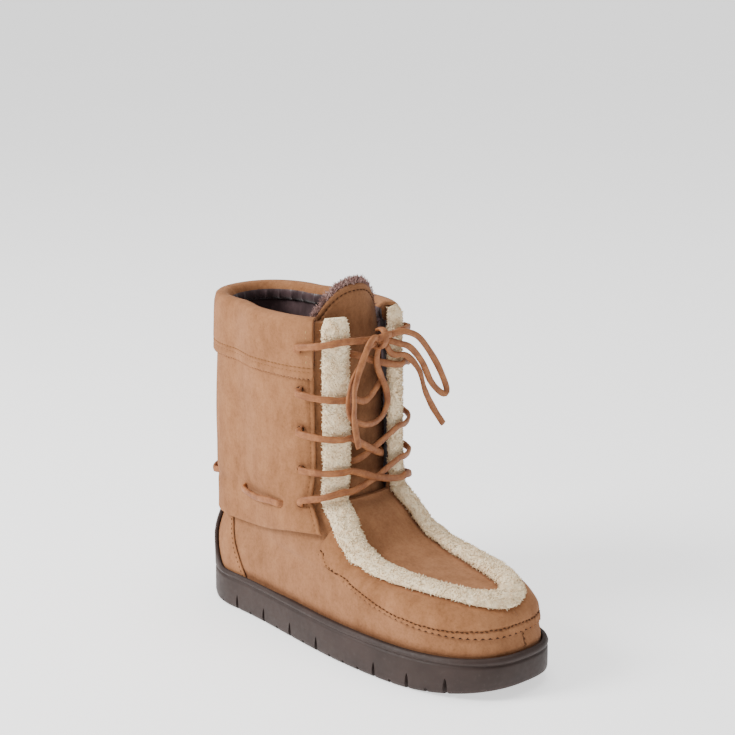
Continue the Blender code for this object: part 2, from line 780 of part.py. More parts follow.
def plug_outline(count, inset):
    """Half the middle line of the trim over the foot, in plan, from the throat to the toe."""
    rear = throat_point(INSTEP_HEIGHT * 0.93)
    half = []
    for t in even(count):
        c, s = quarter(t * math.pi / 2, PLUG_POWER)
        x = mix(rear.x, PLUG_NOSE - inset, s)
        wide = mix(PLUG_HALF, -rear.y, max(1 - s * 2.2, 0.0) ** 2) - inset
        half.append(Vector((x, -wide * c + TOE_SWING * s * s, 0)))
    return half


def throat_point(height):
    return bare_point(height, throat_around(height, edge_half(height) - TRIM_HALF))


def plug_prism(inset):
    """A standing prism through the plug, between the two arms of the trim."""
    outer_side = plug_outline(14, inset)
    inner_side = []
    for p in reversed(outer_side[:-1]):
        inner_side.append(Vector((p.x, 2 * TOE_SWING * (p.x / PLUG_NOSE) ** 2 - p.y, 0)))
    back = Vector((-SHAFT_FRONT * 0.65, 0, 0))
    line = [outer_side[0] + back] + outer_side + inner_side + [inner_side[-1] + back]
    return prism([p + Vector((0, 0, -0.01)) for p in line], Vector((0, 0, COLLAR_HEIGHT * 1.3)))


def apron_line(x):
    """Height of the apron's pinked lower edge, which rises to the ankle."""
    share = (TOE_REACH - x) / TOE_REACH
    return APRON_HEIGHT + APRON_RISE * max(share - 0.05, 0) ** APRON_BEND


def build_apron(finish):
    """Moccasin apron: from its pinked lower edge up to under the wool trim, and back to under the wrap."""
    heights = rows_around(APRON_HEIGHT - 0.003, INSTEP_HEIGHT * 0.98)
    apron = shell("apron", heights, lambda z: CLEARANCE, lambda z: CLEARANCE + OVERLAY, finish)
    along = [mix(APRON_REAR * TOE_REACH, TOE_REACH * 1.05, t) for t in even(18)]
    edge = [(x, apron_line(x)) for x in along]
    top = [(x, INSTEP_HEIGHT * 0.98) for x in along]
    boolean(apron, cutter("apron_edge_cutter", [side_prism(edge, top)]), "INTERSECT")
    boolean(apron, cutter("plug_cutter", [plug_prism(0.0)]), "DIFFERENCE")
    return apron


def trim_path(steps_up, steps_along):
    """(height, around) along the middle of the trim: down the throat, round the toe and up again."""
    turn_height = INSTEP_HEIGHT * 0.93
    top = COLLAR_HEIGHT + 0.001
    down = []
    for t in even(steps_up):
        height = mix(top, turn_height, t)
        down.append((height, throat_around(height, edge_half(height) - TRIM_HALF)))
    along = [on_crown(p.x, p.y) for p in plug_outline(steps_along, 0.0)[1:]]
    half = down + along
    half[-1] = (half[-1][0], 1.0)
    return half + [(height, 2 - around) for height, around in reversed(half[:-1])]


def build_trim(finish):
    """U-shaped roll of cropped wool that covers the apron's upper edge and lines the throat."""
    path = trim_path(10, 13)
    profile = [
        (-0.96, -0.0030), (-1.02, 0.45 * TRIM_HEIGHT), (-0.70, 0.86 * TRIM_HEIGHT), (-0.10, TRIM_HEIGHT),
        (0.50, 0.90 * TRIM_HEIGHT), (0.78, 0.55 * TRIM_HEIGHT), (0.80, -0.0030),
    ]
    sections = []
    for i, (height, around) in enumerate(path):
        before = bare_point(*path[max(i - 1, 0)])
        after = bare_point(*path[min(i + 1, len(path) - 1)])
        tangent = (after - before).normalized()
        across = tangent.cross(skin_normal(height, around)).normalized()
        section = []
        for side, lift in profile:
            move = across * side * TRIM_HALF
            half_way = step_on_skin(height, around, move * 0.5)
            section.append(skin(*step_on_skin(*half_way, move * 0.5), lift))
        sections.append(section)
    trim = sweep("wool_trim", sections, finish)
    heights = rows_around(APRON_HEIGHT - 0.004, COLLAR_HEIGHT * 1.06)
    boolean(trim, last_form("last_cutter", heights, lambda z: CLEARANCE), "DIFFERENCE")
    heights = rows_around(APRON_HEIGHT - 0.004, INSTEP_HEIGHT * 1.02)
    over_apron = last_form("apron_room", heights, lambda z: 2 * CLEARANCE + OVERLAY)
    boolean(over_apron, cutter("plug_room", [plug_prism(CLEARANCE)]), "DIFFERENCE")
    boolean(trim, over_apron, "DIFFERENCE")
    return trim


def tongue_spine():
    """Side profile of the tongue's outer face: tucked under the vamp, then up in front of the shin."""
    seam_x = ring_at(SEAM_HEIGHT).nose
    under = UPPER_WALL + CLEARANCE
    ahead_x = seam_x + TONGUE_TUCK
    tuck = skin(on_crown(ahead_x, 0.0)[0], 1.0, -under)
    seam = skin(SEAM_HEIGHT - 0.0015, 1.0, -under)
    shin_x = SHAFT_FRONT - TONGUE_SET_BACK
    rows = [
        tuck, mix(tuck, seam, 0.55), seam + Vector((-0.0015, 0, 0.0006)),
        Vector((mix(seam.x, shin_x, 0.72), 0, SEAM_HEIGHT + 0.010)),
        Vector((shin_x + 0.001, 0, SEAM_HEIGHT + 0.026)),
    ]
    for share, back in ((0.38, 0.0), (0.60, 0.001), (0.80, 0.003), (0.92, 0.005), (1.0, 0.0062)):
        rows.append(Vector((shin_x - back, 0, mix(SEAM_HEIGHT, TONGUE_TOP, share))))
    return [Vector((p.x, 0, p.z)) for p in rows]


def build_tongue(finish):
    """Suede tongue bowed round the shin, its foot tucked under the vamp's edge."""
    spine = tongue_spine()
    top_z = spine[-1].z
    outer, inner = [], []
    for i, point in enumerate(spine):
        along = (spine[min(i + 1, len(spine) - 1)] - spine[max(i - 1, 0)]).normalized()
        out = Vector((along.z, 0, -along.x))
        share = i / (len(spine) - 1)
        half = TONGUE_HALF * mix(0.52, 1.0, smooth_step(share, 0.0, 0.5))
        line_out, line_in = [], []
        for k in [2 * s - 1 for s in even(13)]:
            y = k * half
            bow = -out * (y * y / (2 * TONGUE_BOW)) * mix(0.75, 1.0, share)
            droop = -0.030 * smooth_step(share, 0.55, 1.0) * abs(k) ** 2.6
            place = point + bow + Vector((0, y, 0)) + Vector((0, 0, droop))
            line_out.append(place)
            line_in.append(place - out * TONGUE_THICKNESS * mix(0.6, 1.0, smooth_step(share, 0.1, 0.4)))
        outer.append(line_out)
        inner.append(line_in)
    return sheet_solid("tongue", outer, inner, finish)


def smooth_route(points, spacing):
    """Points a given distance apart on a smooth curve through the route points."""
    ends = [points[0] * 2 - points[1]] + points + [points[-1] * 2 - points[-2]]
    fine = []
    for i in range(1, len(ends) - 2):
        a, b, c, d = ends[i - 1], ends[i], ends[i + 1], ends[i + 2]
        for t in [k / 12 for k in range(12)]:
            bend = (2 * a - 5 * b + 4 * c - d) * t**2 + (3 * b - a - 3 * c + d) * t**3
            fine.append(0.5 * (2 * b + (c - a) * t + bend))
    fine.append(points[-1])
    length = sum((b - a).length for a, b in zip(fine, fine[1:]))
    count = max(round(length / spacing), 2)
    route, walked, target = [fine[0]], 0.0, length / count
    for a, b in zip(fine, fine[1:]):
        step = (b - a).length
        while walked + step >= target and len(route) < count:
            route.append(a + (b - a) * ((target - walked) / step))
            target += length / count
        walked += step
    return route + [fine[-1]]


def thong_solid(name, route, finish, width=LACE_WIDTH, thickness=LACE_THICKNESS):
    """Flat leather thong along a route, its broad side facing out from the shaft."""
    sections = []
    for i, point in enumerate(route):
        forward = Vector((1, (point.y / THROAT_HALF / 1.13) ** 3, 0))
        tangent = (route[min(i + 1, len(route) - 1)] - route[max(i - 1, 0)]).normalized()
        across = tangent.cross(forward).normalized()
        out = across.cross(tangent)
        section = []
        for k in range(6):
            c, s = math.cos(math.pi * k / 3), math.sin(math.pi * k / 3)
            section.append(point + across * c * width / 2 + out * s * thickness / 1.75)
        sections.append(section)
    return sweep(name, sections, finish)


def cord_curve(name, route, finish):
    """A loose lace as a round tube with filled ends."""
    curve = bpy.data.curves.new(name, "CURVE")
    curve.dimensions = "3D"
    curve.bevel_depth = CORD_THICKNESS / 2
    curve.bevel_resolution = 1
    curve.use_fill_caps = True
    line = curve.splines.new("POLY")
    line.points.add(len(route) - 1)
    for knot, point in zip(line.points, route):
        knot.co = (*point, 1.0)
    return new_object(name, curve, finish)


def hole_front(row, side):
    """Where a lace lies on the leather just outside its hole."""
    height, around = hole_place(row, side)
    lift = wrap_over(height) + LACE_THICKNESS * 0.5 + LACE_OFF
    if row == 0:
        lift += CUFF_LEATHER + CLEARANCE
    return skin(height, around, lift)


def over_trim(height, side, half, lift):
    """A point in front of the wool, half away from the middle plane at the skin."""
    around = throat_around(height, half)
    return skin(height, around if side < 0 else 2 - around, lift)


def up_and_over(row, side, height):
    """From the hole over the wool to the throat, where the lace passes it at the given height."""
    crest = TRIM_HEIGHT + LACE_THICKNESS * 0.5 + LACE_OFF
    start = hole_front(row, side)
    low = level_height(start.z)
    return [
        start, over_trim(mix(low, height, 0.35), side, THROAT_HALF * 1.13, crest * 0.86),
        over_trim(mix(low, height, 0.70), side, THROAT_HALF * 0.95, crest * 1.06),
        over_trim(height, side, THROAT_HALF * 0.72, crest),
        over_trim(height, side, THROAT_HALF * 0.54, crest * 0.90),
    ]


def level_height(z):
    """The skin's height at the front of the shaft that comes out at z."""
    return z - collar_shift(z, SHAFT_FRONT * 0.9)


# Laces that cross the throat: hole row and side they leave by, the height where they pass the wool, then
# where they go: a row to climb to on the other side, or the height at which they go in behind the wool. Dip
# lowers the middle of the lace, and ahead sets it forward so that it lies on its partner.
Crossing = namedtuple("Crossing", "name row side pass_at to_row goes_to dip ahead")
CROSSINGS = (
    Crossing("lace_low_partner", 4, -1, 0.1060, 3, 0.1200, 0.0015, 0.0000),
    Crossing("lace_crossing_low", 3, -1, 0.1200, 4, 0.1060, 0.0015, 0.0019),
    Crossing("lace_middle_partner", 2, 1, 0.1425, None, 0.1245, 0.0010, 0.0000),
    Crossing("lace_crossing_middle", 2, -1, 0.1425, None, 0.1245, 0.0010, 0.0019),
    Crossing("lace_bar_left", 1, -1, 0.1690, None, 0.1760, 0.0075, 0.0000),
    Crossing("lace_bar_right", 1, 1, 0.1850, None, 0.1960, 0.0010, 0.0000),
)


def crossing_route(lace):
    first = up_and_over(lace.row, lace.side, lace.pass_at)
    if lace.to_row is None:
        depth = THROAT_HALF * 0.56
        inside = over_trim(lace.goes_to, -lace.side, depth, -UPPER_WALL - LACE_THICKNESS * 0.8)
        edge = over_trim(lace.goes_to, -lace.side, depth * 0.62, LACE_THICKNESS * 0.6)
        last = [edge, inside]
    else:
        last = list(reversed(up_and_over(lace.to_row, -lace.side, lace.goes_to)))
    middle = (first[-1] + last[0]) / 2
    middle += Vector((lace.ahead, 0, -lace.dip))
    return smooth_route(first + [middle] + last, LACE_WIDTH * 1.6)


def build_crossings(finish):
    """Laces over the throat; the two pairs that touch are joined."""
    made = {lace.name: thong_solid(lace.name, crossing_route(lace), finish) for lace in CROSSINGS}
    boolean(made["lace_crossing_low"], hidden(made["lace_low_partner"]), "UNION")
    boolean(made["lace_crossing_middle"], hidden(made["lace_middle_partner"]), "UNION")


# The bow in front of the tongue: each route starts at the knot. Columns are shares of the shaft's front
# reach, the throat's half width and the collar's height.
KNOT = (1.068, 0.151, 0.933)
ROUTES = {
    "lace_loop_left": (
        (1.095, -0.261, 0.916), (1.089, -0.427, 0.874), (1.093, -0.659, 0.828), (1.102, -0.797, 0.765),
        (1.111, -0.736, 0.714), (1.111, -0.482, 0.690), (1.095, -0.195, 0.679), (1.079, 0.054, 0.682),
        (1.059, 0.258, 0.696), (1.047, 0.401, 0.730), (1.043, 0.346, 0.774), (1.047, 0.192, 0.818),
        (1.061, 0.059, 0.859), (1.075, 0.048, 0.893),
    ),
    "lace_loop_right": (
        (1.111, 0.504, 0.946), (1.116, 0.714, 0.942), (1.118, 1.023, 0.921), (1.118, 1.299, 0.878),
        (1.116, 1.609, 0.814), (1.118, 1.841, 0.746), (1.125, 1.841, 0.721), (1.120, 1.686, 0.727),
        (1.113, 1.421, 0.769), (1.118, 1.156, 0.837), (1.118, 0.824, 0.891), (1.111, 0.526, 0.911),
    ),
    "lace_end_left": (
        (1.143, -0.241, 0.948), (1.145, -0.379, 0.928), (1.143, -0.523, 0.887), (1.145, -0.656, 0.844),
        (1.148, -0.749, 0.800), (1.150, -0.755, 0.756), (1.152, -0.771, 0.719), (1.150, -0.705, 0.664),
        (1.143, -0.622, 0.623),
    ),
    "lace_end_right": (
        (1.063, 0.493, 0.874), (1.097, 0.780, 0.865), (1.116, 1.079, 0.814), (1.113, 1.255, 0.747),
        (1.104, 1.509, 0.684), (1.120, 1.774, 0.624),
    ),
}


def route_point(shares):
    along, across, up = shares
    return Vector((along * SHAFT_FRONT, across * THROAT_HALF, up * COLLAR_HEIGHT))


def build_bow(finish):
    """Knot with the two laces that come to it, the two loops and the two ends."""
    centre = route_point(KNOT)
    shares = ((-0.62, -0.1), (-0.3, 0.0), (0.3, 0.0), (0.62, 0.08))
    body = [centre + Vector((0, y, z)) * KNOT_SIZE for y, z in shares]
    knot = thong_solid("lace_knot", body, finish, KNOT_SIZE * 0.95, KNOT_SIZE * 0.72)
    for side in (-1, 1):
        first = up_and_over(0, side, level_height(centre.z) + 0.002)
        route = smooth_route(first + [centre + Vector((0, side * KNOT_SIZE * 0.4, 0))], LACE_WIDTH * 1.6)
        arm = thong_solid("knot_arm_" + ("left" if side < 0 else "right"), route, finish)
        boolean(knot, hidden(arm), "UNION")
    for name, rows in ROUTES.items():
        cord_curve(name, smooth_route([route_point(row) for row in rows], CORD_THICKNESS * 2.2), finish)


def build_thong(finish):
    """Ankle thong: three long stitches, each lying on the wrap between two slits."""
    places = thong_places()
    for name, first, last in (("outer", 0, 1), ("back", 2, 3), ("inner", 4, 5)):
        start, end = places[first][1], places[last][1] - (2 if name == "back" else 0)
        route = []
        for t in even(9):
            lift = wrap_over(THONG_HEIGHT) + LACE_THICKNESS / 2 + LACE_OFF
            route.append(skin(THONG_HEIGHT, mix(start, end, t), lift + 0.0006 * math.sin(t * math.pi)))
        sections = []
        for i, point in enumerate(route):
            around = mix(start, end, i / (len(route) - 1))
            out = skin_normal(THONG_HEIGHT, around)
            tangent = (route[min(i + 1, len(route) - 1)] - route[max(i - 1, 0)]).normalized()
            across = out.cross(tangent).normalized()
            section = []
            for k in range(6):
                c, s = math.cos(math.pi * k / 3), math.sin(math.pi * k / 3)
                section.append(point + across * c * LACE_WIDTH / 2 + out * s * LACE_THICKNESS / 1.75)
            sections.append(section)
        sweep("ankle_thong_" + name, sections, finish)


def main():
    for piece in list(bpy.data.objects):
        bpy.data.objects.remove(piece)
    suede = material("suede", (0.42, 0.25, 0.145), 0.9)
    rubber = material("rubber", (0.11, 0.082, 0.072), 0.55)
    wool = material("wool", (0.78, 0.70, 0.57), 0.95)
    thong = material("thong", (0.39, 0.17, 0.075), 0.7)
    build_outsole(rubber)
    build_insole(wool)
    build_upper(suede)
    build_counter(suede)
    build_apron(suede)
    build_wrap(suede)
    build_cuff(suede)
    build_trim(wool)
    build_tongue(suede)
    build_crossings(thong)
    build_bow(thong)
    build_thong(thong)


main()
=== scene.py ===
"""Looks of the right suede moccasin boot: fine leather, wool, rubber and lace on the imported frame.

Metres. +X points to the toe, +Y to the inner side of the foot, +Z up.
"""

import math
from collections import namedtuple

import bpy
import numpy as np
from mathutils import Matrix, Vector


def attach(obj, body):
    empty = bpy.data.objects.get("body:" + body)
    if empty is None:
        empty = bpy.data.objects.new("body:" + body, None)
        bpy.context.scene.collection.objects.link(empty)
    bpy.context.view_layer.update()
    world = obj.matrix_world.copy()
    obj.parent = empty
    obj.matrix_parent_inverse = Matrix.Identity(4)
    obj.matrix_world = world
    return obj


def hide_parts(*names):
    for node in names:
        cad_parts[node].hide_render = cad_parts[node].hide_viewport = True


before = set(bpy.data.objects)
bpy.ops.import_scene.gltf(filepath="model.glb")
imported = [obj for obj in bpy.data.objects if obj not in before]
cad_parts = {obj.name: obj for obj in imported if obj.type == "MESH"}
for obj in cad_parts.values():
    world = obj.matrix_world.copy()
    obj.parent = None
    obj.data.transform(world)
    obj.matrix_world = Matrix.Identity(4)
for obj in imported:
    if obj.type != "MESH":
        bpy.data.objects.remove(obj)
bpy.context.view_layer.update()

# Last and shaft sizes, as in the frame
HEEL_REACH = 0.0435
HEEL_HALF = 0.0413
BALL_HALF = 0.0490
TOE_REACH = 0.2360
TOE_SWING = 0.0040
INSTEP_HEIGHT = 0.0980
SHAFT_BACK = 0.0400
SHAFT_HALF = 0.0420
SHAFT_FRONT = 0.0930
COLLAR_HEIGHT = 0.2214
COLLAR_RISE = 0.0010
CLEARANCE = 0.0004
UPPER_WALL = 0.0030
OVERLAY = 0.0016
COUNTER = 0.0012
CUFF_LEATHER = 0.0020
SOLE_MARGIN = 0.0046
SOLE_EDGE = 0.0265
SOLE_FLOOR = 0.0140
SOLE_LIP = 0.0042
TOE_SPRING = 0.0095
TOE_SPRING_RUN = 0.0720
TOE_RIM_LIFT = 0.0030
HEEL_BEVEL = 0.0120
HEEL_BEVEL_RUN = 0.0330
FIN_HEIGHT = 0.0375
FIN_WALL = 0.0030
TREAD_DEPTH = 0.0030
TREAD_WIDTH = 0.0026
NOTCH_HEIGHT = 0.0112
NOTCH_WIDTH = 0.0034
NOTCH_REACH = 0.0060
THROAT_HALF = 0.0335
SLOT_HALF = 0.0250
SEAM_HEIGHT = 0.0975
TRIM_HALF = 0.0086
TRIM_HEIGHT = 0.0085
TRIM_ROOM = 0.0008
PLUG_NOSE = 0.2165
PLUG_HALF = 0.0350
PLUG_POWER = 2.5
APRON_HEIGHT = 0.0405
APRON_RISE = 0.0920
APRON_BEND = 2.2
APRON_REAR = 0.40
SEAM_FOOT = 0.0145
SEAM_HEAD = -0.0135
WRAP_HEM = 0.0660
WRAP_HEM_RISE = 0.0120
WRAP_HANG = 0.0022
CUFF_DEPTH = 0.0390
CUFF_FOLD = 0.0120
COLLAR_PAD = 0.0034
TONGUE_THICKNESS = 0.0045
TONGUE_HALF = 0.0315
TONGUE_TOP = 0.2410
TONGUE_TUCK = 0.0130
TONGUE_BOW = 0.0360
TONGUE_SET_BACK = 0.0065
LACE_WIDTH = 0.0044
LACE_THICKNESS = 0.0024
LACE_OFF = 0.0011
CORD_THICKNESS = 0.0032
KNOT_SIZE = 0.0135
HOLE_INSET = 0.0090
LACE_TOP = 0.2010
LACE_PITCH = 0.0268
LACE_ROWS = 5
THONG_HEIGHT = 0.0925

Slice = namedtuple("Slice", "level shaft back heel ball_at ball nose power")
SLICES = (
    Slice(0.12, 0.0, 0.925, 0.915, 0.545, 0.955, 0.975, 2.70),
    Slice(0.27, 0.0, 0.950, 0.945, 0.545, 0.985, 0.990, 2.70),
    Slice(0.39, 0.0, 0.965, 0.960, 0.535, 1.000, 0.977, 2.70),
    Slice(0.48, 0.0, 0.955, 0.950, 0.525, 0.990, 0.962, 2.80),
    Slice(0.54, 0.0, 0.930, 0.915, 0.520, 0.970, 0.933, 2.90),
    Slice(0.585, 0.0, 0.895, 0.880, 0.515, 0.955, 0.880, 3.00),
    Slice(0.62, 0.0, 0.870, 0.845, 0.520, 0.940, 0.700, 3.00),
    Slice(0.66, 0.0, 0.855, 0.825, 0.545, 0.930, 0.596, 3.00),
    Slice(0.72, 0.1, 0.870, 0.820, 0.580, 0.925, 0.560, 3.00),
    Slice(0.81, 0.4, 0.910, 0.825, 0.560, 0.940, 0.637, 2.90),
    Slice(0.91, 0.8, 0.965, 0.830, 0.515, 0.970, 0.855, 2.90),
    Slice(1.00, 1.0, 1.015, 0.835, 0.480, 0.990, 1.012, 2.90),
    Slice(1.10, 1.0, 1.020, 0.840, 0.430, 1.000, 1.000, 3.00),
    Slice(1.50, 1.0, 1.015, 0.835, 0.385, 1.000, 0.990, 3.00),
    Slice(2.00, 1.0, 1.000, 0.820, 0.360, 1.000, 0.985, 3.00),
)
HEEL_SHARE = 0.24
SIDE_SHARE = 0.30
HEEL_POWER = 2.2
TOE_SEAM = 1.012

Notch = namedtuple("Notch", "place tall")
NOTCHES = (
    Notch(-0.050, False), Notch(0.022, True), Notch(0.086, False), Notch(0.153, True), Notch(0.220, False),
    Notch(0.286, True), Notch(0.352, False), Notch(0.414, True), Notch(0.474, False), Notch(0.532, False),
    Notch(0.592, False), Notch(0.654, True), Notch(0.712, False), Notch(0.770, True), Notch(0.828, False),
    Notch(0.882, True),
)


def steady_curve(places, values):
    """A smooth curve through the points that never overshoots them, sampled finely."""
    gaps = np.diff(places)
    rates = np.diff(values) / gaps
    slopes = [rates[0]]
    for before, after in zip(rates, rates[1:]):
        slopes.append(0.0 if before * after <= 0 else 2 * before * after / (before + after))
    slopes.append(rates[-1])
    fine = np.linspace(places[0], places[-1], 1201)
    i = np.clip(np.searchsorted(places, fine, side="right") - 1, 0, len(gaps) - 1)
    t = (fine - np.take(places, i)) / gaps[i]
    low, high = np.take(values, i), np.take(values, i + 1)
    start, end = np.take(slopes, i) * gaps[i], np.take(slopes, i + 1) * gaps[i]
    curve = low * (1 + 2 * t) * (1 - t) ** 2 + start * t * (1 - t) ** 2
    return fine, curve + high * t * t * (3 - 2 * t) + end * t * t * (t - 1)


LEVELS = [row.level for row in SLICES]
PROFILE = {field: steady_curve(LEVELS, [getattr(row, field) for row in SLICES]) for field in Slice._fields[1:]}


def mix(a, b, share):
    return a + (b - a) * share


def smooth_step(value, low, high):
    t = np.clip((np.asarray(value, float) - low) / (high - low), 0.0, 1.0)
    return t * t * (3 - 2 * t)


def bump_at(value, centre, width):
    """A soft bump of height 1."""
    return np.exp(-(((np.asarray(value, float) - centre) / width) ** 2))


def level_at(height):
    height = np.asarray(height, float)
    above = 1 + (height - INSTEP_HEIGHT) / (COLLAR_HEIGHT - INSTEP_HEIGHT)
    return np.where(height <= INSTEP_HEIGHT, height / INSTEP_HEIGHT, above)


def ring_at(height):
    """Sizes of the last's horizontal section at each height."""
    level = level_at(height)
    row = {field: np.interp(level, *curve) for field, curve in PROFILE.items()}
    nose = row["nose"] * mix(TOE_REACH, SHAFT_FRONT, row["shaft"])
    row["back"] = row["back"] * mix(HEEL_REACH, SHAFT_BACK, row["shaft"])
    row["heel"] = row["heel"] * mix(HEEL_HALF, SHAFT_HALF, row["shaft"])
    row["ball"] = row["ball"] * mix(BALL_HALF, SHAFT_HALF, row["shaft"])
    row["ball_x"] = row["ball_at"] * nose
    row["nose"] = nose
    row["swing"] = TOE_SWING * (1 - row["shaft"]) * (nose / TOE_REACH) ** 3
    return row


def quarter(angle, power):
    c = np.maximum(np.cos(angle), 0.0)
    s = np.maximum(np.sin(angle), 0.0)
    reach = (c**power + s**power) ** (-1 / power)
    return c * reach, s * reach


def bare(height, around):
    """Points of the last: around is 0 at the back, 1 at the nose by the outer side, 2 at the back again."""
    height, around = np.broadcast_arrays(np.asarray(height, float), np.mod(np.asarray(around, float), 2.0))
    side = np.where(around <= 1, -1.0, 1.0)
    share = np.where(around <= 1, around, 2 - around)
    ring = ring_at(height)
    c, s = quarter(share / HEEL_SHARE * math.pi / 2, HEEL_POWER)
    heel_x, heel_y = -ring["back"] * c, ring["heel"] * s
    t = np.clip((share - HEEL_SHARE) / SIDE_SHARE, 0, 1)
    side_x, side_y = ring["ball_x"] * t, mix(ring["heel"], ring["ball"], t * t * (3 - 2 * t))
    u = np.clip((share - HEEL_SHARE - SIDE_SHARE) / (1 - HEEL_SHARE - SIDE_SHARE), 0, 1)
    c, s = quarter((1 - u) * math.pi / 2, ring["power"])
    toe_x = ring["ball_x"] + (ring["nose"] - ring["ball_x"]) * c
    toe_y = ring["ball"] * s
    in_heel, in_side = share <= HEEL_SHARE, share <= HEEL_SHARE + SIDE_SHARE
    x = np.where(in_heel, heel_x, np.where(in_side, side_x, toe_x))
    y = side * np.where(in_heel, heel_y, np.where(in_side, side_y, toe_y))
    y = y + np.where(in_side, 0.0, ring["swing"] * c * c)
    z = height + COLLAR_RISE * smooth_step(height, INSTEP_HEIGHT, COLLAR_HEIGHT) * x / SHAFT_FRONT
    return np.stack([x, y, z], axis=-1)


def unit(vectors):
    return vectors / np.maximum(np.linalg.norm(vectors, axis=-1, keepdims=True), 1e-12)


def normal(height, around):
    small_turn, small_rise = 0.004, 0.0006
    height, around = np.asarray(height, float), np.asarray(around, float)
    along = bare(height, around + small_turn) - bare(height, around - small_turn)
    up = bare(height + small_rise, around) - bare(height - small_rise, around)
    return unit(np.cross(along, up))


def skin(height, around, lift=0.0):
    """Points of the upper's outside, moved off it by lift."""
    return bare(height, around) + normal(height, around) * np.asarray(lift, float)[..., None]


def throat_around(height, half):
    """Where the outer side's section comes within half of the middle plane, in front."""
    height, half = np.broadcast_arrays(np.asarray(height, float), np.asarray(half, float))
    low = np.full(height.shape, HEEL_SHARE + SIDE_SHARE)
    high = np.full(height.shape, 1.0)
    for _ in range(26):
        middle = (low + high) / 2
        wide = -bare(height, middle)[..., 1] > half
        low, high = np.where(wide, middle, low), np.where(wide, high, middle)
    return low


def side_around(x, height):
    """Where the outer side's section at this height passes x."""
    x, height = np.broadcast_arrays(np.asarray(x, float), np.asarray(height, float))
    low, high = np.zeros(height.shape), np.full(height.shape, 1.0)
    for _ in range(26):
        middle = (low + high) / 2
        behind = bare(height, middle)[..., 0] < x
        low, high = np.where(behind, middle, low), np.where(behind, high, middle)
    return low


def on_crown(x, y):
    """(height, around) of the points of the foot's top that lie over these places."""
    x, y = np.broadcast_arrays(np.asarray(x, float), np.asarray(y, float))
    low = np.full(x.shape, APRON_HEIGHT)
    high = np.full(x.shape, INSTEP_HEIGHT * 1.2)
    for _ in range(26):
        middle = (low + high) / 2
        ring = ring_at(middle)
        ahead = np.maximum((x - ring["ball_x"]) / (ring["nose"] - ring["ball_x"]), 0)
        aside = np.abs((y - ring["swing"] * ahead**2) / ring["ball"])
        inside = ahead ** ring["power"] + aside ** ring["power"] < 1
        low, high = np.where(inside, middle, low), np.where(inside, high, middle)
    ring = ring_at(low)
    ahead = np.maximum((x - ring["ball_x"]) / (ring["nose"] - ring["ball_x"]), 1e-6)
    aside = (y - ring["swing"] * ahead**2) / ring["ball"]
    share = 1 - np.arctan2(np.abs(aside), ahead) / (math.pi / 2)
    around = HEEL_SHARE + SIDE_SHARE + share * (1 - HEEL_SHARE - SIDE_SHARE)
    return low, np.where(aside <= 0, around, 2 - around)


def step_on_skin(height, around, move):
    """(height, around) after short moves along the skin."""
    small_turn, small_rise = 0.004, 0.0006
    here = bare(height, around)
    along = (bare(height, around + small_turn) - here) / small_turn
    up = (bare(height + small_rise, around) - here) / small_rise
    a, b, c = (along * along).sum(-1), (along * up).sum(-1), (up * up).sum(-1)
    p, q = (move * along).sum(-1), (move * up).sum(-1)
    scale = a * c - b * b
    return height + (a * q - b * p) / scale, around + (c * p - b * q) / scale


def edge_half(height):
    return mix(THROAT_HALF * 1.13, THROAT_HALF, smooth_step(height, WRAP_HEM, INSTEP_HEIGHT * 1.3))


def wrap_hem(x):
    return WRAP_HEM + WRAP_HEM_RISE * smooth_step(x, 0.0, SHAFT_FRONT)


def wrap_under(height):
    down = 1 - smooth_step(height, WRAP_HEM, INSTEP_HEIGHT * 1.25)
    return 2 * CLEARANCE + OVERLAY + WRAP_HANG * down


def wrap_over(height):
    return wrap_under(height) + OVERLAY


def wrap_front(height):
    return edge_half(height) + TRIM_ROOM * mix(4.5, 1.0, smooth_step(height, WRAP_HEM, INSTEP_HEIGHT))


def apron_line(x):
    share = (TOE_REACH - x) / TOE_REACH
    return APRON_HEIGHT + APRON_RISE * np.maximum(share - 0.05, 0) ** APRON_BEND


# Materials


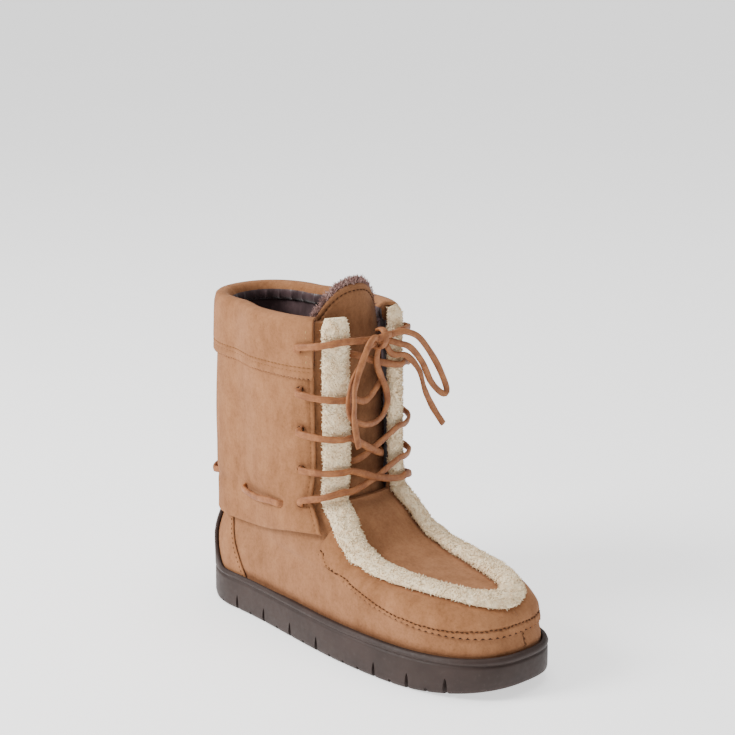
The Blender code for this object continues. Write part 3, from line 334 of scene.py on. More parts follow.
class Nodes:
    """Short way to write a material's node tree."""

    def __init__(self, name):
        self.material = bpy.data.materials.new(name)
        self.material.use_nodes = True
        self.tree = self.material.node_tree
        self.shader = self.tree.nodes["Principled BSDF"]
        self.place = self.add("ShaderNodeTexCoord").outputs["Object"]

    def add(self, kind, **values):
        node = self.tree.nodes.new(kind)
        for key, value in values.items():
            setattr(node, key, value)
        return node

    def link(self, source, target):
        self.tree.links.new(source, target)

    def noise(self, scale, detail=3.0, roughness=0.6, stretch=None):
        node = self.add("ShaderNodeTexNoise")
        node.inputs["Scale"].default_value = scale
        node.inputs["Detail"].default_value = detail
        node.inputs["Roughness"].default_value = roughness
        if stretch:
            mapping = self.add("ShaderNodeMapping")
            mapping.inputs["Scale"].default_value = stretch
            self.link(self.place, mapping.inputs["Vector"])
            self.link(mapping.outputs["Vector"], node.inputs["Vector"])
        else:
            self.link(self.place, node.inputs["Vector"])
        return node.outputs["Fac"]

    def ramp(self, source, stops):
        node = self.add("ShaderNodeValToRGB")
        ramp = node.color_ramp
        while len(ramp.elements) < len(stops):
            ramp.elements.new(0.5)
        for element, (at, colour) in zip(ramp.elements, stops):
            element.position = at
            element.color = (*colour, 1.0)
        self.link(source, node.inputs["Fac"])
        return node.outputs["Color"]

    def span(self, source, low, high, new_low=0.0, new_high=1.0):
        node = self.add("ShaderNodeMapRange")
        for key, value in zip(("From Min", "From Max", "To Min", "To Max"), (low, high, new_low, new_high)):
            node.inputs[key].default_value = value
        self.link(source, node.inputs["Value"])
        return node.outputs["Result"]

    def math(self, kind, first, second):
        node = self.add("ShaderNodeMath", operation=kind)
        for socket, value in zip(node.inputs, (first, second)):
            if isinstance(value, (int, float)):
                socket.default_value = value
            else:
                self.link(value, socket)
        return node.outputs[0]

    def blend(self, kind, share, first, second):
        node = self.add("ShaderNodeMix", data_type="RGBA", blend_type=kind)
        for key, value in (("Factor", share), ("A", first), ("B", second)):
            socket = next(s for s in node.inputs if s.name == key and s.type == ("VALUE" if key == "Factor" else "RGBA"))
            if isinstance(value, (int, float)):
                socket.default_value = value
            elif isinstance(value, tuple):
                socket.default_value = (*value, 1.0)
            else:
                self.link(value, socket)
        return next(s for s in node.outputs if s.type == "RGBA")

    def attribute(self, name):
        return self.add("ShaderNodeAttribute", attribute_name=name).outputs["Fac"]

    def bump(self, source, strength, distance, under=None):
        node = self.add("ShaderNodeBump")
        node.inputs["Strength"].default_value = strength
        node.inputs["Distance"].default_value = distance
        self.link(source, node.inputs["Height"])
        if under is not None:
            self.link(under, node.inputs["Normal"])
        return node.outputs["Normal"]

    def finish(self, colour, rough, bumped=None, **uniform):
        if isinstance(colour, tuple):
            self.shader.inputs["Base Color"].default_value = (*colour, 1.0)
        else:
            self.link(colour, self.shader.inputs["Base Color"])
        if isinstance(rough, float):
            self.shader.inputs["Roughness"].default_value = rough
        else:
            self.link(rough, self.shader.inputs["Roughness"])
        if bumped is not None:
            self.link(bumped, self.shader.inputs["Normal"])
        for key, value in uniform.items():
            self.shader.inputs[key.replace("_", " ")].default_value = value
        return self.material


def suede(name, light, dark, shade=(0.62, 0.55, 0.50)):
    """Brushed leather: cloudy nap, short strokes, fine grain, and painted shade in hollows, seams and folds, set by a
    per-point mask.
    """
    n = Nodes(name)
    cloud = n.noise(38.0, 4.0, 0.62)
    patch = n.noise(120.0, 3.0, 0.65, (1.0, 1.0, 0.55))
    nap = n.noise(520.0, 3.0, 0.7)
    grain = n.noise(2100.0, 2.0, 0.7)
    tone = n.math("ADD", n.math("MULTIPLY", cloud, 0.5), n.math("MULTIPLY", patch, 0.5))
    colour = n.ramp(tone, [(0.36, dark), (0.50, mix_colour(dark, light, 0.55)), (0.64, light)])
    speck = n.ramp(n.math("ADD", n.math("MULTIPLY", nap, 0.55), n.math("MULTIPLY", grain, 0.45)),
                   [(0.34, (0.72, 0.70, 0.68)), (0.50, (1.0, 1.0, 1.0)), (0.68, (1.16, 1.15, 1.13))])
    colour = n.blend("MULTIPLY", 0.75, colour, speck)
    # Painted shade: where the per-point mask is high, the colour is multiplied by the shade colour.
    painted_shade = n.attribute("painted_shade")
    colour = n.blend("MULTIPLY", painted_shade, colour, shade)
    bump = n.bump(nap, 0.35, 0.0006)
    bump = n.bump(grain, 0.5, 0.00022, bump)
    return n.finish(colour, n.span(nap, 0.3, 0.7, 0.98, 0.86), bump, Sheen_Weight=0.04, Sheen_Roughness=0.55,
                    Specular_IOR_Level=0.10)


def mix_colour(a, b, share):
    return tuple(x + (y - x) * share for x, y in zip(a, b))


def rubber_material():
    n = Nodes("brown_rubber")
    cloud = n.noise(45.0, 3.0, 0.6)
    grain = n.noise(1700.0, 2.0, 0.6)
    dust = n.noise(260.0, 4.0, 0.7)
    colour = n.ramp(cloud, [(0.35, (0.026, 0.015, 0.012)), (0.65, (0.037, 0.022, 0.018))])
    colour = n.blend("MIX", n.span(dust, 0.60, 0.80, 0.0, 0.18), colour, (0.12, 0.085, 0.070))
    bump = n.bump(grain, 0.35, 0.00015)
    return n.finish(colour, n.span(dust, 0.3, 0.7, 0.62, 0.50), bump, Specular_IOR_Level=0.28)


def wool_material(name, light, dark):
    n = Nodes(name)
    cloud = n.noise(150.0, 4.0, 0.7)
    curl = n.noise(900.0, 3.0, 0.7)
    colour = n.ramp(cloud, [(0.34, dark), (0.55, light), (0.8, mix_colour(light, (1.0, 0.98, 0.92), 0.25))])
    colour = n.blend("MULTIPLY", 0.5, colour, n.ramp(curl, [(0.35, (0.74, 0.70, 0.64)), (0.6, (1.05, 1.05, 1.05))]))
    bump = n.bump(curl, 0.6, 0.0007)
    return n.finish(colour, 0.95, bump, Sheen_Weight=0.12, Sheen_Roughness=0.6, Specular_IOR_Level=0.08)


def lining_material():
    """Smooth quilted lining with small shimmer and soft wrinkles."""
    n = Nodes("plum_lining")
    weave = n.noise(2600.0, 2.0, 0.5)
    wrinkle = n.noise(95.0, 3.0, 0.55, (1.0, 1.0, 0.5))
    colour = n.ramp(wrinkle, [(0.35, (0.040, 0.020, 0.022)), (0.7, (0.095, 0.055, 0.058))])
    bump = n.bump(wrinkle, 0.6, 0.0025)
    bump = n.bump(weave, 0.2, 0.0001, bump)
    return n.finish(colour, n.span(weave, 0.3, 0.7, 0.34, 0.48), bump, Sheen_Weight=0.25, Specular_IOR_Level=0.5)


def thong_material(name, light, dark):
    n = Nodes(name)
    tone = n.noise(150.0, 3.0, 0.6)
    streak = n.noise(900.0, 3.0, 0.65)
    colour = n.ramp(tone, [(0.35, dark), (0.65, light)])
    colour = n.blend("MULTIPLY", 0.5, colour, n.ramp(streak, [(0.35, (0.70, 0.66, 0.62)), (0.6, (1.05, 1.05, 1.04))]))
    bump = n.bump(streak, 0.4, 0.0002)
    return n.finish(colour, n.span(streak, 0.3, 0.7, 0.70, 0.55), bump, Specular_IOR_Level=0.35)


def thread_material(name, colour):
    n = Nodes(name)
    twist = n.add("ShaderNodeTexWave")
    twist.inputs["Scale"].default_value = 900.0
    twist.inputs["Distortion"].default_value = 2.0
    n.link(n.place, twist.inputs["Vector"])
    shade = n.ramp(twist.outputs["Fac"], [(0.2, tuple(c * 0.7 for c in colour)), (0.8, colour)])
    return n.finish(shade, 0.85, n.bump(twist.outputs["Fac"], 0.4, 0.00015), Specular_IOR_Level=0.08)


def floor_material():
    n = Nodes("studio_floor")
    tone = n.noise(3.0, 2.0, 0.5)
    floor = n.ramp(tone, [(0.3, (0.93, 0.93, 0.93)), (0.7, (0.95, 0.95, 0.95))])
    return n.finish(floor, 0.85, Emission_Color=(1.0, 1.0, 1.0, 1.0), Emission_Strength=1.0)


TAN = suede("tan_suede", (0.345, 0.158, 0.072), (0.235, 0.100, 0.042))
SHADE_TAN = suede("vamp_suede", (0.335, 0.156, 0.074), (0.232, 0.102, 0.045))
# Darker copy of the tan suede for the tongue: painted shade, as the tongue lies in shadow.
SHADED_TONGUE_SUEDE = suede("tongue_suede_painted_shade", (0.270, 0.126, 0.060), (0.180, 0.078, 0.034))
RUBBER = rubber_material()
WOOL = wool_material("cream_wool", (0.94, 0.78, 0.53), (0.82, 0.63, 0.40))
PILE = wool_material("mauve_pile", (0.37, 0.215, 0.190), (0.17, 0.090, 0.078))
LINING = lining_material()
THONG = thong_material("lace_leather", (0.350, 0.135, 0.048), (0.215, 0.075, 0.026))
EDGE_THREAD = thread_material("tan_thread", (0.23, 0.105, 0.042))
DARK_THREAD = thread_material("brown_thread", (0.085, 0.036, 0.017))
# Dark suede used as painted shade under pinked teeth and in the lace holes, and for the toe seam's dark line.
SHADE_AND_SEAM_DARK = suede("painted_shade_and_seam_dark", (0.050, 0.022, 0.011), (0.028, 0.012, 0.006))
GOLD_THREAD = thread_material("golden_thread", (0.52, 0.31, 0.13))


# Meshes


def make_mesh(name, points, faces, finishes, indices=None, painted_shade=None, smooth=True):
    mesh = bpy.data.meshes.new(name)
    mesh.from_pydata([tuple(map(float, p)) for p in points], [], faces)
    for finish in finishes:
        mesh.materials.append(finish)
    if indices is not None:
        mesh.polygons.foreach_set("material_index", indices)
    # Per-point mask of painted shade, read by the suede material.
    if painted_shade is not None:
        layer = mesh.attributes.new("painted_shade", "FLOAT", "POINT")
        layer.data.foreach_set("value", np.asarray(painted_shade, np.float32))
    if smooth:
        mesh.shade_smooth()
    mesh.update()
    piece = bpy.data.objects.new(name, mesh)
    bpy.context.scene.collection.objects.link(piece)
    return piece


def grid_faces(rows, columns, start=0, wrap=False, flip=False):
    faces = []
    for i in range(rows - 1):
        for j in range(columns if wrap else columns - 1):
            k = (j + 1) % columns
            a, b = start + i * columns, start + (i + 1) * columns
            face = (a + j, a + k, b + k, b + j)
            faces.append(face[::-1] if flip else face)
    return faces


def leather_sheet(name, height, around, under, over, finish, relief=0.0, painted_shade=0.0, back=None):
    """Leather between two lifts off the skin, with rounded edges, over grids of places."""
    rows, columns = height.shape
    under, over = np.broadcast_to(under, height.shape), np.broadcast_to(over, height.shape)
    places = bare(height, around)
    span_u = np.linalg.norm(np.diff(places, axis=0), axis=-1)
    span_v = np.linalg.norm(np.diff(places, axis=1), axis=-1)
    from_u = np.concatenate([np.zeros((1, columns)), np.cumsum(span_u, axis=0)])
    from_v = np.concatenate([np.zeros((rows, 1)), np.cumsum(span_v, axis=1)], axis=1)
    edge = np.minimum(np.minimum(from_u, from_u[-1:] - from_u), np.minimum(from_v, from_v[:, -1:] - from_v))
    radius = 0.0011
    arc = np.sqrt(np.clip(1 - (1 - np.clip(edge / radius, 0, 1)) ** 2, 0, 1))
    thick = (over - under)
    normals = normal(height, around)
    outer = places + normals * (under + thick * (0.42 + 0.58 * arc) + relief)[..., None]
    inner = places + normals * (under + thick * 0.30 * (1 - arc))[..., None]
    points = np.concatenate([outer.reshape(-1, 3), inner.reshape(-1, 3)])
    faces = grid_faces(rows, columns) + grid_faces(rows, columns, rows * columns, flip=True)
    ring = [j for j in range(columns)]
    ring += [i * columns + columns - 1 for i in range(1, rows)]
    ring += [(rows - 1) * columns + j for j in range(columns - 2, -1, -1)]
    ring += [i * columns for i in range(rows - 2, 0, -1)]
    under_at = rows * columns
    for a, b in zip(ring, ring[1:] + ring[:1]):
        faces.append((b, a, under_at + a, under_at + b))
    shade = np.concatenate([np.broadcast_to(painted_shade, height.shape).ravel(), np.zeros(rows * columns)])
    indices = None
    finishes = [finish]
    if back is not None:
        finishes.append(back)
        count = (rows - 1) * (columns - 1)
        indices = [0] * count + [1] * count + [0] * len(ring)
    return make_mesh(name, points, faces, finishes, indices, shade)


def edge_spacing(count, fine=(0.0, 0.0004, 0.0010), length=1.0):
    """Shares from 0 to 1 with extra lines close to both ends, for a strip of this length."""
    near = [f / length for f in fine]
    middle = list(np.linspace(near[-1], 1 - near[-1], count))
    return np.array(near[:-1] + middle + [1 - f for f in reversed(near[:-1])])


def stitches(name, path, out, finish, length=0.0026, gap=0.0009, width=0.00055, sink=0.0):
    """Threads along a path of points, each a small rounded bar lying on the leather."""
    path, out = np.asarray(path, float), np.asarray(out, float)
    steps = np.linalg.norm(np.diff(path, axis=0), axis=1)
    walked = np.concatenate([[0], np.cumsum(steps)])
    count = max(int(walked[-1] / (length + gap)), 1)
    starts = (np.arange(count) + 0.5) * walked[-1] / count
    rings, sides = 5, 6
    points, faces = [], []
    for middle in starts:
        base = len(points)
        for k in range(rings):
            t = k / (rings - 1) * 2 - 1
            at = middle + t * length / 2
            centre = np.array([np.interp(at, walked, path[:, c]) for c in range(3)])
            up = unit(np.array([np.interp(at, walked, out[:, c]) for c in range(3)]))
            ahead = np.array([np.interp(at + 1e-4, walked, path[:, c]) for c in range(3)]) - centre
            along = unit(ahead) if np.linalg.norm(ahead) > 0 else np.array([1.0, 0, 0])
            across = np.cross(up, along)
            size = width * math.sqrt(max(1 - t * t * 0.92, 0.05))
            drop = -sink - width * 0.7 * t * t
            for m in range(sides):
                angle = 2 * math.pi * m / sides
                points.append(centre + across * math.cos(angle) * size + up * (math.sin(angle) * size + drop))
        faces += grid_faces(rings, sides, base, wrap=True)
        faces.append(tuple(base + m for m in range(sides))[::-1])
        faces.append(tuple(base + (rings - 1) * sides + m for m in range(sides)))
    return make_mesh(name, points, faces, [finish])


def tube_mesh(name, route, out, width, thickness, finish, sides=12, square=3.0, twist=None, taper=None):
    """Flat thong along a route: a rounded oblong section, its broad side square to out."""
    route, out = np.asarray(route, float), np.asarray(out, float)
    tangent = unit(np.gradient(route, axis=0))
    across = unit(np.cross(tangent, out))
    up = np.cross(across, tangent)
    if twist is not None:
        c, s = np.cos(twist)[:, None], np.sin(twist)[:, None]
        across, up = across * c + up * s, up * c - across * s
    angle = 2 * math.pi * (np.arange(sides) + 0.5) / sides
    c, s = np.cos(angle), np.sin(angle)
    reach = (np.abs(c) ** square + np.abs(s) ** square) ** (-1 / square)
    size = np.ones(len(route)) if taper is None else taper
    points = (route[:, None, :]
              + across[:, None, :] * (c * reach * width / 2)[None, :, None] * size[:, None, None]
              + up[:, None, :] * (s * reach * thickness / 2)[None, :, None] * size[:, None, None])
    count = len(route)
    faces = grid_faces(count, sides, wrap=True)
    faces.append(tuple(range(sides))[::-1])
    faces.append(tuple((count - 1) * sides + m for m in range(sides)))
    piece = make_mesh(name, points.reshape(-1, 3), faces, [finish])
    recalculate(piece)
    return piece


def recalculate(piece):
    import bmesh

    shaped = bmesh.new()
    shaped.from_mesh(piece.data)
    bmesh.ops.recalc_face_normals(shaped, faces=shaped.faces)
    shaped.to_mesh(piece.data)
    shaped.free()


def smooth_route(points, spacing):
    """Evenly spaced points on a smooth curve through the route points."""
    points = [np.asarray(p, float) for p in points]
    ends = [points[0] * 2 - points[1]] + points + [points[-1] * 2 - points[-2]]
    fine = []
    for i in range(1, len(ends) - 2):
        a, b, c, d = ends[i - 1], ends[i], ends[i + 1], ends[i + 2]
        for t in [k / 16 for k in range(16)]:
            fine.append(0.5 * (2 * b + (c - a) * t + (2 * a - 5 * b + 4 * c - d) * t**2 + (3 * b - a - 3 * c + d) * t**3))
    fine.append(points[-1])
    fine = np.array(fine)
    walked = np.concatenate([[0], np.cumsum(np.linalg.norm(np.diff(fine, axis=0), axis=1))])
    at = np.linspace(0, walked[-1], max(int(round(walked[-1] / spacing)), 2) + 1)
    return np.stack([np.interp(at, walked, fine[:, c]) for c in range(3)], axis=1)


def ride(piece, *nodes, slot="suede"):
    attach(piece, "root")
    if nodes:
        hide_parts(*nodes)
    return piece


# Camera, floor and light

CAMERA_AT = Vector((1.00040, -0.84480, 0.51810))
CAMERA_AZIMUTH = math.radians(47.08)
CAMERA_ELEVATION = math.radians(14.99)
CAMERA_ROLL = math.radians(0.21)


def place_camera():
    data = bpy.data.cameras.new("photo_camera")
    data.sensor_width = 36.0
    data.lens = 94.98
    data.clip_start = 0.05
    camera = bpy.data.objects.new("photo_camera", data)
    bpy.context.scene.collection.objects.link(camera)
    az, el = CAMERA_AZIMUTH, CAMERA_ELEVATION
    back = Vector((math.sin(az) * math.cos(el), -math.cos(az) * math.cos(el), math.sin(el)))
    right = Vector((math.cos(az), math.sin(az), 0))
    up = back.cross(right)
    c, s = math.cos(CAMERA_ROLL), math.sin(CAMERA_ROLL)
    right, up = right * c + up * s, up * c - right * s
    turn = Matrix((right, up, back)).transposed()
    camera.matrix_world = Matrix.Translation(CAMERA_AT) @ turn.to_4x4()
    bpy.context.scene.camera = camera


def area_light(name, at, aim, power, size, colour=(1, 1, 1)):
    data = bpy.data.lights.new(name, "AREA")
    data.energy = power
    data.size = size
    data.color = colour
    light = bpy.data.objects.new(name, data)
    bpy.context.scene.collection.objects.link(light)
    direction = Vector(aim) - Vector(at)
    light.matrix_world = Matrix.Translation(at) @ direction.to_track_quat("-Z", "Y").to_matrix().to_4x4()


def studio():
    size = 6.0
    points = [(-size, -size, 0), (size, -size, 0), (size, size, 0), (-size, size, 0)]
    floor = make_mesh("studio_floor", points, [(0, 1, 2, 3)], [floor_material()], smooth=False)
    world = bpy.data.worlds.new("studio_air")
    world.use_nodes = True
    world.node_tree.nodes["Background"].inputs["Color"].default_value = (1.0, 1.0, 1.0, 1.0)
    world.node_tree.nodes["Background"].inputs["Strength"].default_value = 0.55
    bpy.context.scene.world = world
    area_light("key_light", (-0.55, -1.30, 1.10), (0.04, 0.0, 0.11), 40.0, 0.7, (1.0, 0.985, 0.97))
    area_light("top_light", (0.1, 0.15, 1.8), (0.08, 0.0, 0.1), 16.0, 1.2)


place_camera()
studio()


# Sole


def outline_at(around, inset):
    small = 0.004
    here = bare(SOLE_EDGE, around)
    along = bare(SOLE_EDGE, around + small) - bare(SOLE_EDGE, around - small)
    along[..., 2] = 0
    along = unit(along)
    out = SOLE_MARGIN - np.asarray(inset, float)
    return here[..., 0] + along[..., 1] * out, here[..., 1] - along[..., 0] * out


def underside(x):
    toe, heel = TOE_REACH + SOLE_MARGIN, HEEL_REACH + SOLE_MARGIN
    spring = np.maximum((x - (toe - TOE_SPRING_RUN)) / TOE_SPRING_RUN, 0.0)
    bevel = np.maximum((-x - (heel - HEEL_BEVEL_RUN)) / HEEL_BEVEL_RUN, 0.0)
    return TOE_SPRING * spring**2 + HEEL_BEVEL * bevel**2


def toe_lift(x):
    toe = TOE_REACH + SOLE_MARGIN
    return TOE_RIM_LIFT * np.maximum((x - (toe - TOE_SPRING_RUN)) / TOE_SPRING_RUN, 0.0) ** 2


def fin_lean(around):
    off_back = np.minimum(np.mod(around, 2), 2 - np.mod(around, 2)) / HEEL_SHARE
    return 1 - smooth_step(off_back, 0.40, 0.80)


def cup_lift(around):
    off_back = np.minimum(np.mod(around, 2), 2 - np.mod(around, 2))
    return CLEARANCE + (COUNTER + CLEARANCE) * (1 - smooth_step(off_back, HEEL_SHARE * 1.35, HEEL_SHARE * 1.7))


def helper_mesh(name, solids):
    points, faces = [], []
    for corners, move in solids:
        start, size = len(points), len(corners)
        points += [Vector(p) for p in corners] + [Vector(p) + Vector(move) for p in corners]
        faces += [tuple(start + k for k in range(size)), tuple(start + k for k in range(2 * size - 1, size - 1, -1))]
        faces += [(start + j, start + (j + 1) % size, start + size + (j + 1) % size, start + size + j) for j in range(size)]
    piece = make_mesh(name, points, faces, [], smooth=False)
    recalculate(piece)
    return piece


def cut(piece, helper, operation="DIFFERENCE"):
    """Apply a Boolean and throw the helper away."""
    step = piece.modifiers.new("cut", "BOOLEAN")
    step.operation = operation
    step.solver = "EXACT"
    step.object = helper
    graph = bpy.context.evaluated_depsgraph_get()
    graph.update()
    mesh = bpy.data.meshes.new_from_object(piece.evaluated_get(graph))
    piece.modifiers.clear()
    old = piece.data
    piece.data = mesh
    mesh.name = old.name + "_cut"
    bpy.data.meshes.remove(old)
    bpy.data.objects.remove(helper)


def build_sole():
    columns = np.linspace(0, 2, 260, endpoint=False)
    x0 = bare(SOLE_EDGE, columns)[..., 0]
    line = SOLE_EDGE - SOLE_LIP + toe_lift(x0)
    top = SOLE_EDGE + toe_lift(x0) + FIN_HEIGHT * fin_lean(columns)
    rings = []

    def wall(inset, z):
        x, y = outline_at(columns, inset)
        rings.append(np.stack([x, y, z], axis=-1))

    low = underside(x0)
    wall(0.0034, low)
    wall(0.0016, low + 0.0003)
    wall(0.0005, low + 0.0013)
    wall(0.0, low + 0.0032)
    wall(0.0, mix(low + 0.0032, line - 0.003, 0.5))
    wall(0.0001, line - 0.0026)
    wall(0.0003, line - 0.0016)
    wall(0.0007, line - 0.0011)
    wall(0.0010, line - 0.0007)
    wall(0.0010, line - 0.0001)
    wall(0.0004, line + 0.0004)
    wall(0.0, line + 0.0010)
    wall(-0.0001, line + 0.0018)
    clear = cup_lift(columns)
    lean = fin_lean(columns)
    for share, drop in ((0.97, 0.0017), (0.86, 0.0008), (0.66, 0.0002), (0.42, 0.0), (0.16, 0.0003), (0.0, 0.0014)):
        plain = clear + (SOLE_MARGIN - clear) * share
        thin = clear + FIN_WALL * share
        rings.append(skin(top - drop, columns, mix(plain, thin, lean)))
    for share in (0.35, 0.7, 1.0):
        rings.append(skin(mix(top, SOLE_FLOOR, share), columns, clear))
    rings[-1][:, 2] = SOLE_FLOOR
    rings = np.array(rings)
    count, size = rings.shape[:2]
    faces = grid_faces(count, size, wrap=True)
    half = size // 2
    for start, flip in ((0, True), ((count - 1) * size, False)):
        for j in range(half):
            a, b = start + j, start + j + 1
            c, d = start + (size - j - 1) % size, start + (size - j) % size
            face = (a, b, c, d) if j else (a, b, start + size - 1)
            if j == half - 1:
                face = (a, b, start + half + 1)
            faces.append(face if flip else face[::-1])
    sole = make_mesh("rubber_sole", rings.reshape(-1, 3), faces, [RUBBER])
    recalculate(sole)
    wide = BALL_HALF * 1.5
    solids = []
    for notch in NOTCHES:
        x = notch.place * TOE_REACH
        base = float(underside(x))
        half_w = TREAD_WIDTH / 2
        corners = [(x - half_w, -wide, base - 0.003), (x + half_w, -wide, base - 0.003),
                   (x + half_w * 0.8, -wide, base + TREAD_DEPTH), (x - half_w * 0.8, -wide, base + TREAD_DEPTH)]
        solids.append((corners, (0, 2 * wide, 0)))
    cut(sole, helper_mesh("tread_helper", solids))
    solids = []
    for notch in NOTCHES:
        if not notch.tall:
            continue
        x = notch.place * TOE_REACH
        base, tip = float(underside(x)) - TREAD_DEPTH, float(underside(x)) + NOTCH_HEIGHT
        around = float(side_around(x, SOLE_EDGE))
        shape = [(-0.46, 0.0), (0.46, 0.0), (0.40, 0.45), (0.34, 0.68), (0.20, 0.86), (0.06, 0.97), (-0.06, 0.97),
                 (-0.20, 0.86), (-0.34, 0.68), (-0.40, 0.45)]
        for side, turn in ((-1, around), (1, 2 - around)):
            _, y = outline_at(np.array(turn), NOTCH_REACH)
            corners = [(x + u * NOTCH_WIDTH, float(y), mix(base, tip, v)) for u, v in shape]
            solids.append((corners, (0, side * 0.03, 0)))
    cut(sole, helper_mesh("notch_helper", solids))
    sole.data.set_sharp_from_angle(angle=math.radians(38))
    sole.name = "rubber_sole"
    return ride(sole, "outsole", slot="rubber")


build_sole()


# Upper, with vamp, plug and lining


def row_heights(low, high, count):
    """Heights that lie closer together over the foot's flat top."""
    fine = np.linspace(low, high, 2000)
    weight = 1 + 3.0 * bump_at(fine, 0.064, 0.012) + 1.2 * bump_at(fine, 0.094, 0.010)
    walked = np.cumsum(weight)
    return np.interp(np.linspace(walked[0], walked[-1], count), walked, fine)


def crease(points, x, z, angle, length, width):
    """Share of a soft straight crease in side view at each point."""
    c, s = math.cos(math.radians(angle)), math.sin(math.radians(angle))
    dx, dz = points[..., 0] - x, points[..., 2] - z
    along, across = dx * c + dz * s, -dx * s + dz * c
    return np.exp(-((along / length) ** 2) - (across / width) ** 2)


def build_upper():
    columns = np.linspace(0, 2, 300, endpoint=False)
    heights = row_heights(SOLE_FLOOR + CLEARANCE, COLLAR_HEIGHT - CUFF_LEATHER - CLEARANCE, 120)
    height, around = np.meshgrid(heights, columns, indexing="ij")
    places = bare(height, around)
    # The suede of the vamp is a little uneven, and presses in at the sole's edge
    wave = 0.00022 * np.sin(places[..., 0] * 95 + 1.1) * np.sin(places[..., 1] * 130 + 0.4 + places[..., 2] * 60)
    tuck = -0.0005 * bump_at(places[..., 2], SOLE_EDGE, 0.0022)
    calm = smooth_step(places[..., 2], SOLE_EDGE + 0.004, SOLE_EDGE + 0.014)
    outer = skin(height, around, np.minimum(wave * calm + tuck, 0.0003))
    inner = skin(height, around, np.full(height.shape, -UPPER_WALL))
    outer[0, :, 2] = inner[0, :, 2] = heights[0]
    rows, cols = height.shape
    points = np.concatenate([outer.reshape(-1, 3), inner.reshape(-1, 3)])
    faces = grid_faces(rows, cols, wrap=True) + grid_faces(rows, cols, rows * cols, wrap=True, flip=True)
    skin_faces = len(faces) // 2
    for row, flip in ((0, False), (rows - 1, True)):
        for j in range(cols):
            k = (j + 1) % cols
            a, b = row * cols, rows * cols + row * cols
            face = (b + j, b + k, a + k, a + j)
            faces.append(face[::-1] if flip else face)
    indices = [0] * skin_faces + [1] * skin_faces + [0] * (2 * cols)
    # Painted shade along the foot of the vamp, where it meets the sole.
    painted_shade = 0.75 * bump_at(places[..., 2], SOLE_EDGE, 0.0035)
    shade = np.concatenate([painted_shade.ravel(), np.zeros(rows * cols)])
    upper = make_mesh("suede_upper", points, faces, [SHADE_TAN, LINING], indices, shade)
    reach, top = SHAFT_FRONT + 0.06, COLLAR_HEIGHT * 1.2
    waist = SEAM_HEIGHT + 0.010
    corners = [(-SLOT_HALF, top), (-SLOT_HALF, waist), (-SLOT_HALF * 0.8, SEAM_HEIGHT),
               (SLOT_HALF * 0.8, SEAM_HEIGHT), (SLOT_HALF, waist), (SLOT_HALF, top)]
    cut(upper, helper_mesh("throat_helper", [([(SHAFT_FRONT * 0.5, y, z) for y, z in corners], (reach, 0, 0))]))
    upper.name = "suede_upper"
    upper.data.set_sharp_from_angle(angle=math.radians(50))
    return ride(upper, "upper")


build_upper()


def pinked(distance, pitch, depth):
    """Zigzag of a pinked edge: 0 at the notches and depth at the teeth's tips."""
    share = np.mod(distance / pitch, 1.0)
    return depth * (1 - np.abs(2 * share - 1))


def arc_length(points):
    return np.concatenate([[0], np.cumsum(np.linalg.norm(np.diff(points, axis=0), axis=1))])


def plug_outline(count, inset):
    """Outer half of the trim's middle line over the foot, in plan."""
    rear_height = INSTEP_HEIGHT * 0.93
    rear = bare(rear_height, throat_around(rear_height, edge_half(rear_height) - TRIM_HALF))
    t = np.linspace(0, 1, count)
    c, s = quarter(t * math.pi / 2, PLUG_POWER)
    x = mix(rear[0], PLUG_NOSE - inset, s)
    wide = mix(PLUG_HALF, -rear[1], np.maximum(1 - s * 2.2, 0.0) ** 2) - inset
    return x, -wide * c + TOE_SWING * s * s


def apron_grid(columns, rows_at):
    """(height, around) over the apron, from the outer rear edge round the toe to the inner one."""
    x_edge = np.linspace(0, 1, columns)
    half = columns // 2
    # Lower edge, by distance along the foot
    share = np.linspace(0, 1, half + 1)
    rear = APRON_REAR * TOE_REACH
    guess = np.linspace(rear, TOE_REACH, 400)
    line = apron_line(guess)
    around_low = side_around(guess, line)
    fine = bare(line, around_low)
    walked = arc_length(fine)
    spots = np.interp(np.linspace(0, walked[-1], half + 1), walked, around_low)
    low_h = np.interp(np.linspace(0, walked[-1], half + 1), walked, line)
    spots[-1], low_h[-1] = 1.0, float(apron_line(TOE_REACH))
    px, py = plug_outline(600, 0.0006)
    top_h, top_a = on_crown(px, np.minimum(py, TOE_SWING))
    top = bare(top_h, top_a)
    walked_top = arc_length(top)
    at = np.linspace(0, walked_top[-1], half + 1)
    top_h, top_a = np.interp(at, walked_top, top_h), np.interp(at, walked_top, top_a)
    top_a[-1] = 1.0
    heights, arounds = [], []
    for t in rows_at:
        heights.append(mix(low_h, top_h, t))
        arounds.append(mix(spots, top_a, t))
    height, around = np.array(heights), np.array(arounds)
    height = np.concatenate([height, height[:, -2::-1]], axis=1)
    around = np.concatenate([around, (2 - around)[:, -2::-1]], axis=1)
    return height, around


def painted_shade_strip(name, height, around, low_lift, high_lift):
    """Thin dark strip under the teeth of a pinked edge: painted shade between the teeth."""
    ride(leather_sheet(name, height, around, low_lift, high_lift, SHADE_AND_SEAM_DARK))


